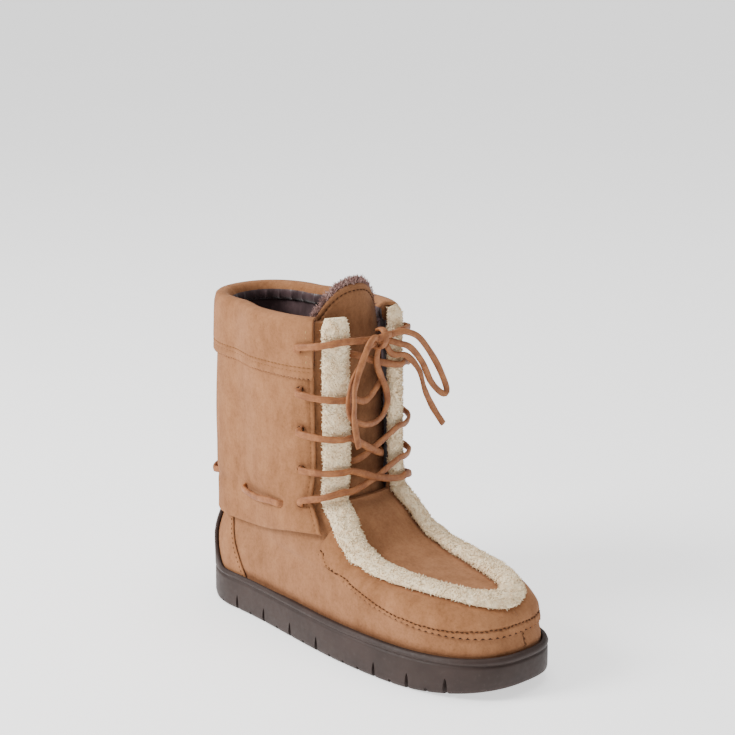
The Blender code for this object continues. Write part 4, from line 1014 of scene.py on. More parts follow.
def build_apron():
    rows_at = np.concatenate([[0, 0.012, 0.03, 0.055, 0.08, 0.105, 0.13], np.linspace(0.16, 1, 26)])
    height, around = apron_grid(641, rows_at)
    places = bare(height, around)
    run = np.broadcast_to(arc_length(places[0])[None, :], height.shape)
    share = np.broadcast_to(rows_at[:, None], height.shape)
    up = np.concatenate([np.zeros((1, places.shape[1])), np.cumsum(np.linalg.norm(np.diff(places, axis=0), axis=-1), axis=0)])
    teeth = pinked(run, 0.0046, 0.0022)
    fade = np.clip(1 - up / 0.0060, 0, 1)
    height = height - teeth * fade * 0.8
    groove = bump_at(up, 0.0044, 0.0007)
    ease = smooth_step(share, 0.05, 0.5)
    puff = 0.0006 * np.sin(np.clip(share, 0, 1) * math.pi) * ease
    wave = 0.00025 * np.sin(run * 190 + 3 * share) * ease * (1 - share)
    relief = puff + wave - 0.0008 * groove
    # Painted shade in the stitch groove and along the pinked lower edge.
    painted_shade = np.clip(0.55 * groove + 0.35 * bump_at(up, 0.0, 0.0012), 0, 1)
    apron = leather_sheet("apron_leather", height, around, CLEARANCE, CLEARANCE + OVERLAY, TAN, relief, painted_shade)
    ride(apron, "apron")
    line_h = mix(height[5], height[6], 0.3)
    line_a = mix(around[5], around[6], 0.3)
    at = np.argmin(np.abs(up - 0.0044), axis=0)
    cols = np.arange(height.shape[1])
    path = skin(height[at, cols], around[at, cols], CLEARANCE + OVERLAY)
    ride(stitches("apron_stitches", path, normal(height[at, cols], around[at, cols]), DARK_THREAD, 0.0022, 0.0011, 0.00042))


build_apron()


# Painted shade under the apron's pinked teeth.
def build_apron_shade_strip():
    height, around = apron_grid(321, np.array([0.0, 1.0]))
    low, spots = height[0], around[0]
    band = np.linspace(-0.00135, 0.0012, 4)
    painted_shade_strip("apron_shade_strip", low[None, :] + band[:, None], np.repeat(spots[None, :], 4, axis=0), 0.0001, CLEARANCE)


def build_toe_seam():
    """Short seam down the front of the toe, with a row of stitches beside it."""
    height = np.linspace(SOLE_EDGE + 0.0035, APRON_HEIGHT - 0.0012, 24)
    for name, around, finish, width in (("toe_seam", TOE_SEAM, SHADE_AND_SEAM_DARK, 0.00030), ("toe_seam_stitches", TOE_SEAM + 0.006, DARK_THREAD, 0.00034)):
        turn = np.full(len(height), around)
        path, out = skin(height, turn, 0.0001), normal(height, turn)
        ride(stitches(name, path, out, finish, 0.0200 if name == "toe_seam" else 0.0020, 0.0008, width))


build_apron_shade_strip()
build_toe_seam()


def build_counter():
    t = edge_spacing(14, length=0.05)
    u = edge_spacing(60, length=0.10)
    low, high = SOLE_FLOOR + 0.004, WRAP_HEM + 0.006
    heights = mix(low, high, t)
    x = mix(SEAM_FOOT, SEAM_HEAD, (heights - low) / (high - low))
    edge = side_around(x, heights)
    height = np.repeat(heights[:, None], len(u), axis=1)
    around = edge[:, None] * (1 - 2 * u)[None, :]
    counter = leather_sheet("counter_leather", height, around, CLEARANCE, CLEARANCE + COUNTER, TAN)
    ride(counter, "counter")
    for side, name in ((1, "outer"), (-1, "inner")):
        a = (edge - 0.006) * side
        path = skin(heights, a, CLEARANCE + COUNTER)
        ride(stitches("counter_stitches_" + name, path, normal(heights, a), DARK_THREAD, 0.0022, 0.0011, 0.00035))


build_counter()


def front_edge(height):
    return throat_around(height, wrap_front(height))


def cuff_line(x):
    return COLLAR_HEIGHT - CUFF_DEPTH + COLLAR_RISE * x / SHAFT_FRONT


def wrap_grid(columns, rows_at):
    """(height, around) over the wrap, from the outer front edge round the back to the inner one."""
    u = edge_spacing(columns, length=0.40)
    turn = np.abs(2 * u - 1)
    top = COLLAR_HEIGHT - CUFF_DEPTH + 0.005
    guess = np.linspace(WRAP_HEM, top, 80)
    edges = front_edge(guess)
    start = np.interp(WRAP_HEM + WRAP_HEM_RISE, guess, edges) * turn
    hem = wrap_hem(bare(WRAP_HEM + 0.006, start)[..., 0])
    height = mix(hem[None, :], top, rows_at[:, None])
    edge = np.interp(height, guess, edges)
    around = edge * turn[None, :]
    around = np.where(u[None, :] <= 0.5, around, 2 - around)
    return height, around


def near_holes(places, rows, width=0.0028):
    """Share of a soft round mask at the lace holes of these rows at each point, used for dents and for painted shade.
    """
    near_hole_mask = np.zeros(places.shape[:-1])
    for row in rows:
        for side in (-1, 1):
            height, around = hole_place(row, side)
            gap = np.linalg.norm(places - bare(height, around), axis=-1)
            near_hole_mask = np.maximum(near_hole_mask, np.exp(-((gap / width) ** 2)))
    return near_hole_mask


def hole_place(row, side):
    height = LACE_TOP - row * LACE_PITCH
    around = throat_around(height, edge_half(height))
    here = bare(height, around)
    back = unit(bare(height, around - 0.01) - here)
    h, a = step_on_skin(height, around, back * HOLE_INSET)
    return float(h), float(a if side < 0 else 2 - a)


def build_wrap():
    rows_at = edge_spacing(60, length=0.115)
    height, around = wrap_grid(240, rows_at)
    places = bare(height, around)
    up = np.concatenate([np.zeros((1, places.shape[1])), np.cumsum(np.linalg.norm(np.diff(places, axis=0), axis=-1), axis=0)])
    across = np.linalg.norm(np.diff(places, axis=1), axis=-1)
    along = np.concatenate([np.zeros((places.shape[0], 1)), np.cumsum(across, axis=1)], axis=1)
    from_front = np.minimum(along, along[:, -1:] - along)
    seam = bump_at(from_front, 0.0034, 0.0006)
    hem_wave = 0.0011 * np.sin(along * 62 + 0.8) * np.exp(-up / 0.018)
    soft = 0.0005 * np.sin(along * 38 + up * 55) + 0.0003 * np.sin(along * 92 - up * 40 + 1.0)
    thong = bump_at(places[..., 2], THONG_HEIGHT, 0.0035)
    near_hole_mask = near_holes(places, range(1, LACE_ROWS))
    relief = np.clip(hem_wave + soft - 0.0007 * seam - 0.0010 * thong - 0.0006 * near_hole_mask, -0.0013, 0.0022)
    # Painted shade in the edge seam's groove, under the ankle thong and round the lace holes.
    painted_shade = np.clip(0.5 * seam + 0.15 * thong + near_hole_mask, 0, 1)
    wrap = leather_sheet("wrap_leather", height, around, wrap_under(height), wrap_over(height), TAN, relief, painted_shade)
    ride(wrap, "shaft_wrap")
    cols = np.arange(height.shape[0])
    for side, name in ((0, "outer"), (1, "inner")):
        at = np.argmin(np.abs((along if side == 0 else along[:, -1:] - along) - 0.0034), axis=1)
        h, a = height[cols, at], around[cols, at]
        path = skin(h, a, wrap_over(h) + relief[cols, at])
        ride(stitches("wrap_edge_stitches_" + name, path[2:-2], normal(h, a)[2:-2], EDGE_THREAD, 0.0023, 0.0010, 0.00040))


build_wrap()


def build_cuff():
    top = COLLAR_HEIGHT
    low = top - CUFF_DEPTH
    on_wrap = wrap_over(low) + CLEARANCE
    outside = on_wrap + CUFF_LEATHER
    inside = -(UPPER_WALL + CLEARANCE)
    u = edge_spacing(620, length=0.40)
    turn = np.abs(2 * u - 1)
    # Section from the pinked edge up, over the collar and down inside
    rows = [(on_wrap + 0.0004, low), (mix(on_wrap, outside, 0.75), low), (outside, low + 0.0006)]
    rows += [(outside, z) for z in np.linspace(low + 0.0016, low + 0.0100, 9)]
    rows += [(outside + 0.0003 * math.sin(t * math.pi), mix(low + 0.0100, top - 0.0090, t)) for t in np.linspace(0.1, 1, 10)]
    rows += [(outside - 0.0002, top - 0.0055), (outside - 0.0009, top - 0.0026), (outside - 0.0019, top - 0.0008)]
    rows += [(outside - 0.0032, top + 0.0003), (mix(outside - 0.0032, inside, 0.55), top + 0.0008)]
    rows += [(inside - 0.0002, top + 0.0002), (inside - COLLAR_PAD * 0.55, top - 0.0018)]
    rows += [(inside - COLLAR_PAD * 0.92, top - 0.0042), (inside - COLLAR_PAD, top - 0.0068)]
    rows += [(inside - COLLAR_PAD * 0.86, top - 0.0098), (inside - COLLAR_PAD * 0.45, top - CUFF_FOLD)]
    rows += [(inside - 0.0001, top - CUFF_FOLD + 0.0003), (inside, top - 0.0050)]
    rows += [(inside + 0.0004, top - CUFF_LEATHER * 0.8), (CLEARANCE, top - CUFF_LEATHER * 0.8)]
    rows += [(CLEARANCE, low + 0.0080), (on_wrap, low + 0.0072), (on_wrap, low + 0.0008)]
    lift = np.array([r[0] for r in rows])[:, None] * np.ones((1, len(u)))
    height = np.array([r[1] for r in rows])[:, None] * np.ones((1, len(u)))
    guess = np.linspace(low - 0.005, top, 60)
    edges = front_edge(guess)
    around = np.interp(np.minimum(height, top), guess, edges) * turn[None, :]
    around = np.where(u[None, :] <= 0.5, around, 2 - around)
    run = arc_length(bare(height[0], around[0]))
    teeth = pinked(run, 0.0027, 0.0014)
    fade = np.clip(1 - np.abs(height - low) / 0.0035, 0, 1) * (lift > on_wrap - 0.0001)
    height = height - teeth[None, :] * fade
    up = height - low
    seam = bump_at(up, 0.0042, 0.0005) + bump_at(up, 0.0070, 0.0005)
    outer = lift > on_wrap + 0.001
    soft = 0.0006 * np.sin(run * 45)[None, :] * smooth_step(up, 0.008, 0.02) * outer
    inner = (lift < inside + 0.0001) & (height < top - 0.0030)
    gather = 0.0011 * (np.abs(np.sin(run * math.pi / 0.0115)) ** 0.5 - 0.75)[None, :]
    lift = lift + np.where(outer, soft - 0.0006 * seam, 0.0) + np.where(inner & (height < top - 0.0060), gather, 0.0)
    points = skin(height, around, lift)
    count, size = height.shape
    faces = grid_faces(count, size) + [(( count - 1) * size + j, (count - 1) * size + j + 1, j + 1, j) for j in range(size - 1)]
    faces.append(tuple(i * size for i in range(count)))
    faces.append(tuple(i * size + size - 1 for i in range(count))[::-1])
    # Painted shade round the top lace holes and in the stitch grooves; the cuff is not dented at the holes.
    near_hole_mask = near_holes(bare(height, around), (0,)) * outer
    painted_shade = np.clip(0.5 * seam * outer + near_hole_mask, 0, 1)
    lined = [bool(inner[i].all() and inner[i + 1].all()) for i in range(count - 1)]
    indices = [int(lined[i]) for i in range(count - 1) for _ in range(size - 1)] + [0] * (size + 1)
    cuff = make_mesh("cuff_leather", points.reshape(-1, 3), faces, [TAN, LINING], indices, painted_shade.ravel())
    recalculate(cuff)
    ride(cuff, "cuff")
    for k, line in enumerate((0.0042, 0.0070)):
        h = np.full(len(u), low + line)
        a = np.interp(h, guess, edges) * turn
        a = np.where(u <= 0.5, a, 2 - a)
        path = skin(h, a, outside - 0.0004)
        ride(stitches("cuff_stitches_%d" % (k + 1), path[3:-3], normal(h, a)[3:-3], EDGE_THREAD, 0.0023, 0.0010, 0.00040))
    h = np.linspace(low + 0.009, top - 0.006, 40)
    for side, name in ((-1, "outer"), (1, "inner")):
        a = np.interp(h, guess, edges)
        back = unit(bare(h, a - 0.01) - bare(h, a))
        h_in, a_in = step_on_skin(h, a, back * 0.0036)
        a_in = a_in if side < 0 else 2 - a_in
        path = skin(h_in, a_in, outside - 0.0001)
        ride(stitches("cuff_edge_stitches_" + name, path, normal(h_in, a_in), GOLD_THREAD, 0.0026, 0.0009, 0.00050))


build_cuff()


# Painted shade under the cuff's pinked teeth.
def build_cuff_shade_strip():
    low = COLLAR_HEIGHT - CUFF_DEPTH
    u = edge_spacing(300, length=0.40)[4:-4]
    band = low + np.linspace(-0.00115, 0.0012, 4)
    height = np.repeat(band[:, None], len(u), axis=1)
    around = front_edge(height) * np.abs(2 * u - 1)[None, :]
    around = np.where(u[None, :] <= 0.5, around, 2 - around)
    lift = float(wrap_over(low))
    painted_shade_strip("cuff_shade_strip", height, around, lift + 0.0001, lift + CLEARANCE)


build_cuff_shade_strip()


# Wool trim


def trim_path():
    top, turn = COLLAR_HEIGHT + 0.001, INSTEP_HEIGHT * 0.93
    height = np.linspace(top, turn, 60)
    around = throat_around(height, edge_half(height) - TRIM_HALF)
    px, py = plug_outline(200, 0.0)
    h, a = on_crown(px[1:], np.minimum(py[1:], TOE_SWING))
    a[-1] = 1.0
    half_h, half_a = np.concatenate([height, h]), np.concatenate([around, a])
    walked = arc_length(bare(half_h, half_a))
    at = np.linspace(0, walked[-1], 130)
    half_h, half_a = np.interp(at, walked, half_h), np.interp(at, walked, half_a)
    kernel = np.hanning(9)[1:-1] / np.hanning(9)[1:-1].sum()
    for _ in range(2):
        half_h[3:-3] = np.convolve(half_h, kernel, "valid")
        half_a[3:-3] = np.convolve(half_a, kernel, "valid")
    half_a[-1] = 1.0
    return np.concatenate([half_h, half_h[-2::-1]]), np.concatenate([half_a, (2 - half_a)[-2::-1]])


TRIM_PROFILE = (
    (-0.80, 0.02), (-0.98, 0.22), (-0.97, 0.50), (-0.82, 0.76), (-0.55, 0.92), (-0.20, 1.0), (0.15, 0.99),
    (0.50, 0.91), (0.80, 0.76), (0.97, 0.50), (0.96, 0.24), (0.78, 0.02),
)


def trim_surface():
    height, around = trim_path()
    places = bare(height, around)
    tangent = unit(np.gradient(places, axis=0))
    across = unit(np.cross(tangent, normal(height, around)))
    walked = arc_length(places)
    full = np.sqrt(smooth_step(np.minimum(walked, walked[-1] - walked), -0.0012, 0.0070))
    grid = []
    for side, lift in TRIM_PROFILE:
        move = across * (side * TRIM_HALF * (0.78 + 0.22 * full))[:, None]
        h, a = step_on_skin(height, around, move * 0.5)
        h, a = step_on_skin(h, a, move * 0.5)
        base = 0.0005 + (0.0019 if side > 0 else 0.0)
        rise = base + lift * (TRIM_HEIGHT - 0.0006 - base) * full
        grid.append(skin(h, a, rise))
    return np.array(grid)


def tufts(name, spots, out, finish, length, width, seed, lean=0.7, spread=0.5, sides=3, curl=0.6):
    """Many small locks of hair, each a bent tapering blade, joined in one mesh."""
    rng = np.random.default_rng(seed)
    count = len(spots)
    out = unit(out + rng.normal(0, spread, out.shape))
    down = unit(np.cross(out, rng.normal(0, 1, out.shape)))
    size = length * rng.uniform(0.55, 1.2, (count, 1))
    wide = width * rng.uniform(0.7, 1.3, (count, 1))
    across = unit(np.cross(out, down))
    rings = []
    for t, w in ((0.0, 1.0), (0.45, 0.85), (0.8, 0.5)):
        centre = spots + out * size * t + down * size * curl * t * t
        for m in range(sides):
            angle = 2 * math.pi * m / sides
            rings.append(centre + (across * math.cos(angle) + down * math.sin(angle)) * wide * w / 2)
    rings.append(spots + out * size * 0.95 + down * size * curl)
    points = np.stack(rings, axis=1).reshape(-1, 3)
    per = len(rings)
    faces = []
    for k in range(count):
        base = k * per
        for r in range(2):
            for m in range(sides):
                n = (m + 1) % sides
                faces.append((base + r * sides + m, base + r * sides + n, base + (r + 1) * sides + n, base + (r + 1) * sides + m))
        for m in range(sides):
            faces.append((base + 2 * sides + m, base + 2 * sides + (m + 1) % sides, base + 3 * sides))
        faces.append(tuple(base + m for m in range(sides))[::-1])
    return make_mesh(name, points, faces, [finish])


def spread_over(grid, count, seed):
    """Random spots on a grid's faces with even density, and the faces' directions."""
    rng = np.random.default_rng(seed)
    a, b = grid[:-1, :-1], grid[1:, :-1]
    c, d = grid[:-1, 1:], grid[1:, 1:]
    cross = np.cross(b - a, c - a)
    area = np.linalg.norm(cross, axis=-1).ravel()
    pick = rng.choice(len(area), count, p=area / area.sum())
    u, v = rng.uniform(0, 1, (2, count, 1))
    parts = [g.reshape(-1, 3)[pick] for g in (a, b, c, d)]
    spots = parts[0] * (1 - u) * (1 - v) + parts[1] * u * (1 - v) + parts[2] * (1 - u) * v + parts[3] * u * v
    return spots, unit(cross.reshape(-1, 3)[pick])


def build_trim():
    grid = trim_surface()
    rows, columns = grid.shape[:2]
    rng = np.random.default_rng(5)
    centre = grid.mean(axis=0, keepdims=True)
    out = unit(grid - centre)
    lumps = np.zeros((rows, columns))
    for _ in range(260):
        r, c = rng.uniform(0, rows), rng.uniform(0, columns)
        i, j = np.meshgrid(np.arange(rows), np.arange(columns), indexing="ij")
        lumps += rng.uniform(-1, 1) * np.exp(-(((i - r) / 1.3) ** 2) - ((j - c) / 1.6) ** 2)
    shaped = grid + out * (np.clip(lumps, -1, 1) * 0.0005 - 0.0004)[..., None]
    points = shaped.reshape(-1, 3)
    faces = [(i * columns + j, i * columns + j + 1, (i + 1) % rows * columns + j + 1, (i + 1) % rows * columns + j)
             for i in range(rows) for j in range(columns - 1)]
    faces.append(tuple(i * columns for i in range(rows)))
    faces.append(tuple(i * columns + columns - 1 for i in range(rows))[::-1])
    body = make_mesh("wool_roll", points, faces, [WOOL])
    recalculate(body)
    ride(body, "wool_trim", slot="wool")
    spots, facing = spread_over(shaped[:-1], 10500, 11)
    centre_line = np.repeat(shaped.mean(axis=0)[None], rows, axis=0)
    towards = spots - nearest(centre_line[0], spots)
    facing = np.where((facing * towards).sum(-1, keepdims=True) < 0, -facing, facing)
    fuzz = tufts("wool_curls", spots - facing * 0.0004, facing, WOOL, 0.0016, 0.00100, 21, spread=0.30, curl=0.75)
    ride(fuzz, slot="wool")


def nearest(line, spots):
    from mathutils.kdtree import KDTree

    tree = KDTree(len(line))
    for k, point in enumerate(line):
        tree.insert(point, k)
    tree.balance()
    return np.array([line[tree.find(p)[1]] for p in spots])


build_trim()


# Tongue


def tongue_grid(columns, rows, set_back=0.0):
    """Points of the tongue's outer face and their outward directions."""
    seam_x = float(ring_at(SEAM_HEIGHT)["nose"])
    gap = UPPER_WALL + CLEARANCE
    tuck_h, _ = on_crown(seam_x + TONGUE_TUCK, 0.0)
    tuck = skin(tuck_h, 1.0, -gap)
    seam = skin(SEAM_HEIGHT - 0.0015, 1.0, -gap)
    shin = SHAFT_FRONT - TONGUE_SET_BACK
    spine = [
        (tuck[0], tuck[2]), (mix(tuck[0], seam[0], 0.55), mix(tuck[2], seam[2], 0.55)), (seam[0] - 0.0015, seam[2] + 0.0006),
        (mix(seam[0], shin, 0.72), SEAM_HEIGHT + 0.010), (shin + 0.001, SEAM_HEIGHT + 0.026),
        (shin, mix(SEAM_HEIGHT, TONGUE_TOP, 0.38)), (shin - 0.001, mix(SEAM_HEIGHT, TONGUE_TOP, 0.6)),
        (shin - 0.003, mix(SEAM_HEIGHT, TONGUE_TOP, 0.8)), (shin - 0.005, mix(SEAM_HEIGHT, TONGUE_TOP, 0.92)),
        (shin - 0.0062, TONGUE_TOP),
    ]
    # The frame's own places along the spine are kept, with more points between them
    index = np.arange(len(spine))
    fine = np.linspace(0, len(spine) - 1, rows)
    xs = np.interp(fine, *steady_curve(index, [p[0] for p in spine]))
    zs = np.interp(fine, *steady_curve(index, [p[1] for p in spine]))
    line = np.stack([xs, np.zeros(rows), zs], axis=1)
    along = unit(np.gradient(line, axis=0))
    out = np.stack([along[:, 2], np.zeros(rows), -along[:, 0]], axis=1)
    share = fine / (len(spine) - 1)
    half = TONGUE_HALF * mix(0.52, 1.0, smooth_step(share, 0.0, 0.5))
    k = np.linspace(-1, 1, columns)
    y = half[:, None] * k[None, :]
    bow = -(y * y / (2 * TONGUE_BOW)) * mix(0.75, 1.0, share)[:, None]
    droop = -0.030 * smooth_step(share, 0.55, 1.0)[:, None] * np.abs(k)[None, :] ** 2.6
    points = line[:, None, :] + out[:, None, :] * bow[..., None]
    points[..., 1] += y
    points[..., 2] += droop
    thick = TONGUE_THICKNESS * mix(0.6, 1.0, smooth_step(share, 0.1, 0.4))
    return points, np.repeat(out[:, None, :], columns, axis=1), share, k, thick


def build_tongue():
    points, out, share, k, thick = tongue_grid(61, 110)
    rows, columns = points.shape[:2]
    across = unit(np.gradient(points, axis=1))
    upward = unit(np.gradient(points, axis=0))
    facing = unit(np.cross(across, upward))
    facing = np.where(facing[..., :1] < 0, -facing, facing)
    side = np.concatenate([np.linalg.norm(np.diff(points, axis=1), axis=-1), np.zeros((rows, 1))], axis=1)
    walked = np.concatenate([np.zeros((rows, 1)), np.cumsum(side[:, :-1], axis=1)], axis=1)
    rise = np.concatenate([np.zeros((1, columns)), np.cumsum(np.linalg.norm(np.diff(points, axis=0), axis=-1), axis=0)])
    edge = np.minimum(np.minimum(walked, walked[:, -1:] - walked), rise[-1:] - rise)
    arc = np.sqrt(np.clip(1 - (1 - np.clip(edge / 0.0016, 0, 1)) ** 2, 0, 1))
    seam = bump_at(edge, 0.0046, 0.0007)
    folds = 0.0
    for at in (0.30, 0.37, 0.45, 0.56):
        folds = folds + 0.0005 * bump_at(share[:, None] + 0.02 * k[None, :] ** 2, at, 0.012)
    relief = -0.0006 * seam - folds - 0.0009 * (1 - arc)
    outer = points + facing * relief[..., None]
    inner = points - facing * (thick[:, None] - 0.0012 * (1 - arc))[..., None]
    flat = np.concatenate([outer.reshape(-1, 3), inner.reshape(-1, 3)])
    faces = grid_faces(rows, columns) + grid_faces(rows, columns, rows * columns, flip=True)
    ring = [j for j in range(columns)]
    ring += [i * columns + columns - 1 for i in range(1, rows)]
    ring += [(rows - 1) * columns + j for j in range(columns - 2, -1, -1)]
    ring += [i * columns for i in range(rows - 2, 0, -1)]
    base = rows * columns
    for a, b in zip(ring, ring[1:] + ring[:1]):
        faces.append((b, a, base + a, base + b))
    count = (rows - 1) * (columns - 1)
    indices = [0] * count + [1] * count + [0] * len(ring)
    # Painted shade in the stitch groove and in the folds.
    painted_shade = np.clip(0.5 * seam + folds * 600, 0, 1)
    shade = np.concatenate([painted_shade.ravel(), np.zeros(base)])
    tongue = make_mesh("tongue_leather", flat, faces, [SHADED_TONGUE_SUEDE, PILE], indices, shade)
    recalculate(tongue)
    ride(tongue, "tongue")
    # Stitches inside the edge: up one side, over the top and down the other
    inset = 0.0046
    line, direction = [], []
    up_rows = [i for i in range(rows) if share[i] > 0.42]
    for i in up_rows:
        j = int(np.argmin(np.abs(walked[i] - inset)))
        if edge[i, j] > inset * 0.8:
            line.append(points[i, j])
            direction.append(facing[i, j])
    top_row = [int(np.argmin(np.abs((rise[-1, j] - rise[:, j]) - inset))) for j in range(columns)]
    for j in range(4, columns - 4):
        line.append(points[top_row[j], j])
        direction.append(facing[top_row[j], j])
    for i in reversed(up_rows):
        j = int(np.argmin(np.abs(walked[i, -1] - walked[i] - inset)))
        if edge[i, j] > inset * 0.8:
            line.append(points[i, j])
            direction.append(facing[i, j])
    line, direction = np.array(line), np.array(direction)
    ride(stitches("tongue_stitches", line - direction * 0.0002, direction, DARK_THREAD, 0.0023, 0.0011, 0.00040))
    # Pile of the tongue's lining: it stands over the top edge and fills the back
    back = inner[int(rows * 0.55):, :]
    spots, facing_back = spread_over(back, 5200, 31)
    facing_back = np.where(facing_back[:, :1] > 0, -facing_back, facing_back)
    fuzz = tufts("tongue_pile", spots, facing_back * 0.8 + np.array([0, 0, 0.5]), PILE, 0.0050, 0.0009, 32, spread=0.35, curl=0.5)
    ride(fuzz, slot="wool")
    rim = [(rows - 1, j) for j in range(columns)]
    rim += [(i, 0) for i in range(int(rows * 0.72), rows)] + [(i, columns - 1) for i in range(int(rows * 0.72), rows)]
    rng = np.random.default_rng(41)
    pick = rng.integers(0, len(rim), 2600)
    i, j = np.array([rim[p][0] for p in pick]), np.array([rim[p][1] for p in pick])
    depth = rng.uniform(0.45, 1.0, (len(pick), 1))
    start = mix(outer[i, j], inner[i, j], depth) + rng.normal(0, 0.0006, (len(pick), 3))
    middle = np.array([shin_centre(points)])
    away = unit(start - middle) * np.array([0.3, 1.0, 1.0]) + np.array([-0.25, 0, 0.35])
    edge_fuzz = tufts("tongue_edge_pile", start, unit(away), PILE, 0.0046, 0.00085, 42, spread=0.30, curl=0.45)
    ride(edge_fuzz, slot="wool")


def shin_centre(points):
    return points[int(len(points) * 0.62), points.shape[1] // 2]


build_tongue()


# Laces


def lace_lift(row, height):
    return float(wrap_over(height)) + (CUFF_LEATHER + CLEARANCE if row == 0 else 0.0)


def hole_front(row, side):
    height, around = hole_place(row, side)
    return skin(height, around, lace_lift(row, height) + LACE_THICKNESS * 0.5 + LACE_OFF)


def over_trim(height, side, half, lift):
    around = throat_around(height, half)
    return skin(height, around if side < 0 else 2 - around, lift)


def level_height(z):
    return float(z - COLLAR_RISE * smooth_step(z, INSTEP_HEIGHT, COLLAR_HEIGHT) * 0.9)


def up_and_over(row, side, height):
    crest = TRIM_HEIGHT + LACE_THICKNESS * 0.5 + LACE_OFF
    start = hole_front(row, side)
    low = level_height(start[2])
    return [
        start, over_trim(mix(low, height, 0.35), side, THROAT_HALF * 1.13, crest * 0.86),
        over_trim(mix(low, height, 0.70), side, THROAT_HALF * 0.95, crest * 1.06),
        over_trim(height, side, THROAT_HALF * 0.72, crest), over_trim(height, side, THROAT_HALF * 0.54, crest * 0.90),
    ]


Crossing = namedtuple("Crossing", "name row side pass_at to_row goes_to dip ahead")
CROSSINGS = (
    Crossing("lace_low_partner", 4, -1, 0.1060, 3, 0.1200, 0.0015, 0.0000),
    Crossing("lace_crossing_low", 3, -1, 0.1200, 4, 0.1060, 0.0015, 0.0019),
    Crossing("lace_middle_partner", 2, 1, 0.1425, None, 0.1245, 0.0010, 0.0000),
    Crossing("lace_crossing_middle", 2, -1, 0.1425, None, 0.1245, 0.0010, 0.0019),
    Crossing("lace_bar_left", 1, -1, 0.1690, None, 0.1760, 0.0075, 0.0000),
    Crossing("lace_bar_right", 1, 1, 0.1850, None, 0.1960, 0.0010, 0.0000),
)


def into_hole(row, side):
    """Points from inside the leather out of the hole, before the lace's route starts."""
    height, around = hole_place(row, side)
    lift = lace_lift(row, height)
    out = normal(height, around)
    back = -0.0016
    inward = unit(bare(height, around - 0.01 * (1 if side < 0 else -1)) - bare(height, around))
    start = skin(height, around, lift - 0.0035) + inward * 0.0012
    rim = skin(height, around, lift - 0.0002) + inward * 0.0010
    return [start, rim]


def outward(route):
    """Direction that a lace's broad side faces at each point."""
    side = (route[:, 1] / THROAT_HALF / 1.13) ** 3
    return unit(np.stack([np.ones(len(route)), side, np.zeros(len(route))], axis=1))


def crossing_points(lace):
    first = up_and_over(lace.row, lace.side, lace.pass_at)
    if lace.to_row is None:
        depth = THROAT_HALF * 0.56
        inside = over_trim(lace.goes_to, -lace.side, depth, -UPPER_WALL - LACE_THICKNESS * 0.8)
        edge = over_trim(lace.goes_to, -lace.side, depth * 0.62, LACE_THICKNESS * 0.6)
        last = [edge, inside]
        tail = []
    else:
        last = list(reversed(up_and_over(lace.to_row, -lace.side, lace.goes_to)))
        tail = list(reversed(into_hole(lace.to_row, -lace.side)))
    middle = (first[-1] + last[0]) / 2 + np.array([lace.ahead, 0, -lace.dip])
    return into_hole(lace.row, lace.side) + first + [middle] + last + tail


def lace_mesh(name, route, seed, turns=0.25, width=LACE_WIDTH * 1.06, **extra):
    """A leather lace with a slightly uneven width and a slow twist."""
    rng = np.random.default_rng(seed)
    count = len(route)
    t = np.linspace(0, 1, count)
    twist = turns * np.sin(t * math.pi * 2 * rng.uniform(0.6, 1.1) + rng.uniform(0, 6))
    twist = twist * np.minimum(1, np.minimum(t, 1 - t) * 8)
    taper = 1 + 0.05 * np.sin(t * 40 + seed) + 0.03 * np.sin(t * 93)
    return tube_mesh(name, route, outward(route), width, LACE_THICKNESS * 0.98, THONG, twist=twist, taper=taper, **extra)


def build_hole_shades():
    """Painted shade in the lace holes: each a thin dark oval on the leather just behind where its lace comes out."""
    points, faces = [], []
    angle = np.linspace(0, 2 * math.pi, 16, endpoint=False)
    for row in range(LACE_ROWS):
        for side in (-1, 1):
            height, around = hole_place(row, side)
            here = bare(height, around)
            back = unit(bare(height, around - 0.01 * -side) - here)
            out = normal(height, around)
            up = np.cross(out, back)
            centre = skin(height, around, lace_lift(row, height) + 0.00012) + back * 0.0011
            start = len(points)
            for lift in (0.0, 0.00025):
                ring = np.cos(angle)[:, None] * back * 0.0027 + np.sin(angle)[:, None] * up * 0.0019
                points += list(centre + out * lift + ring)
            faces += grid_faces(2, 16, start, wrap=True)
            faces += [tuple(range(start, start + 16))[::-1], tuple(range(start + 16, start + 32))]
    holes = make_mesh("lace_hole_painted_shade", points, faces, [SHADE_AND_SEAM_DARK])
    recalculate(holes)
    ride(holes)


build_hole_shades()


def build_crossings():
    nodes = {"lace_low_partner": "lace_crossing_low", "lace_middle_partner": "lace_crossing_middle"}
    made = {}
    for k, lace in enumerate(CROSSINGS):
        route = smooth_route(crossing_points(lace), 0.0016)
        made[lace.name] = lace_mesh("leather_" + lace.name, route, k + 3, turns=0.2)
    for name, piece in made.items():
        ride(piece, nodes.get(name, name), slot="thong")


build_crossings()


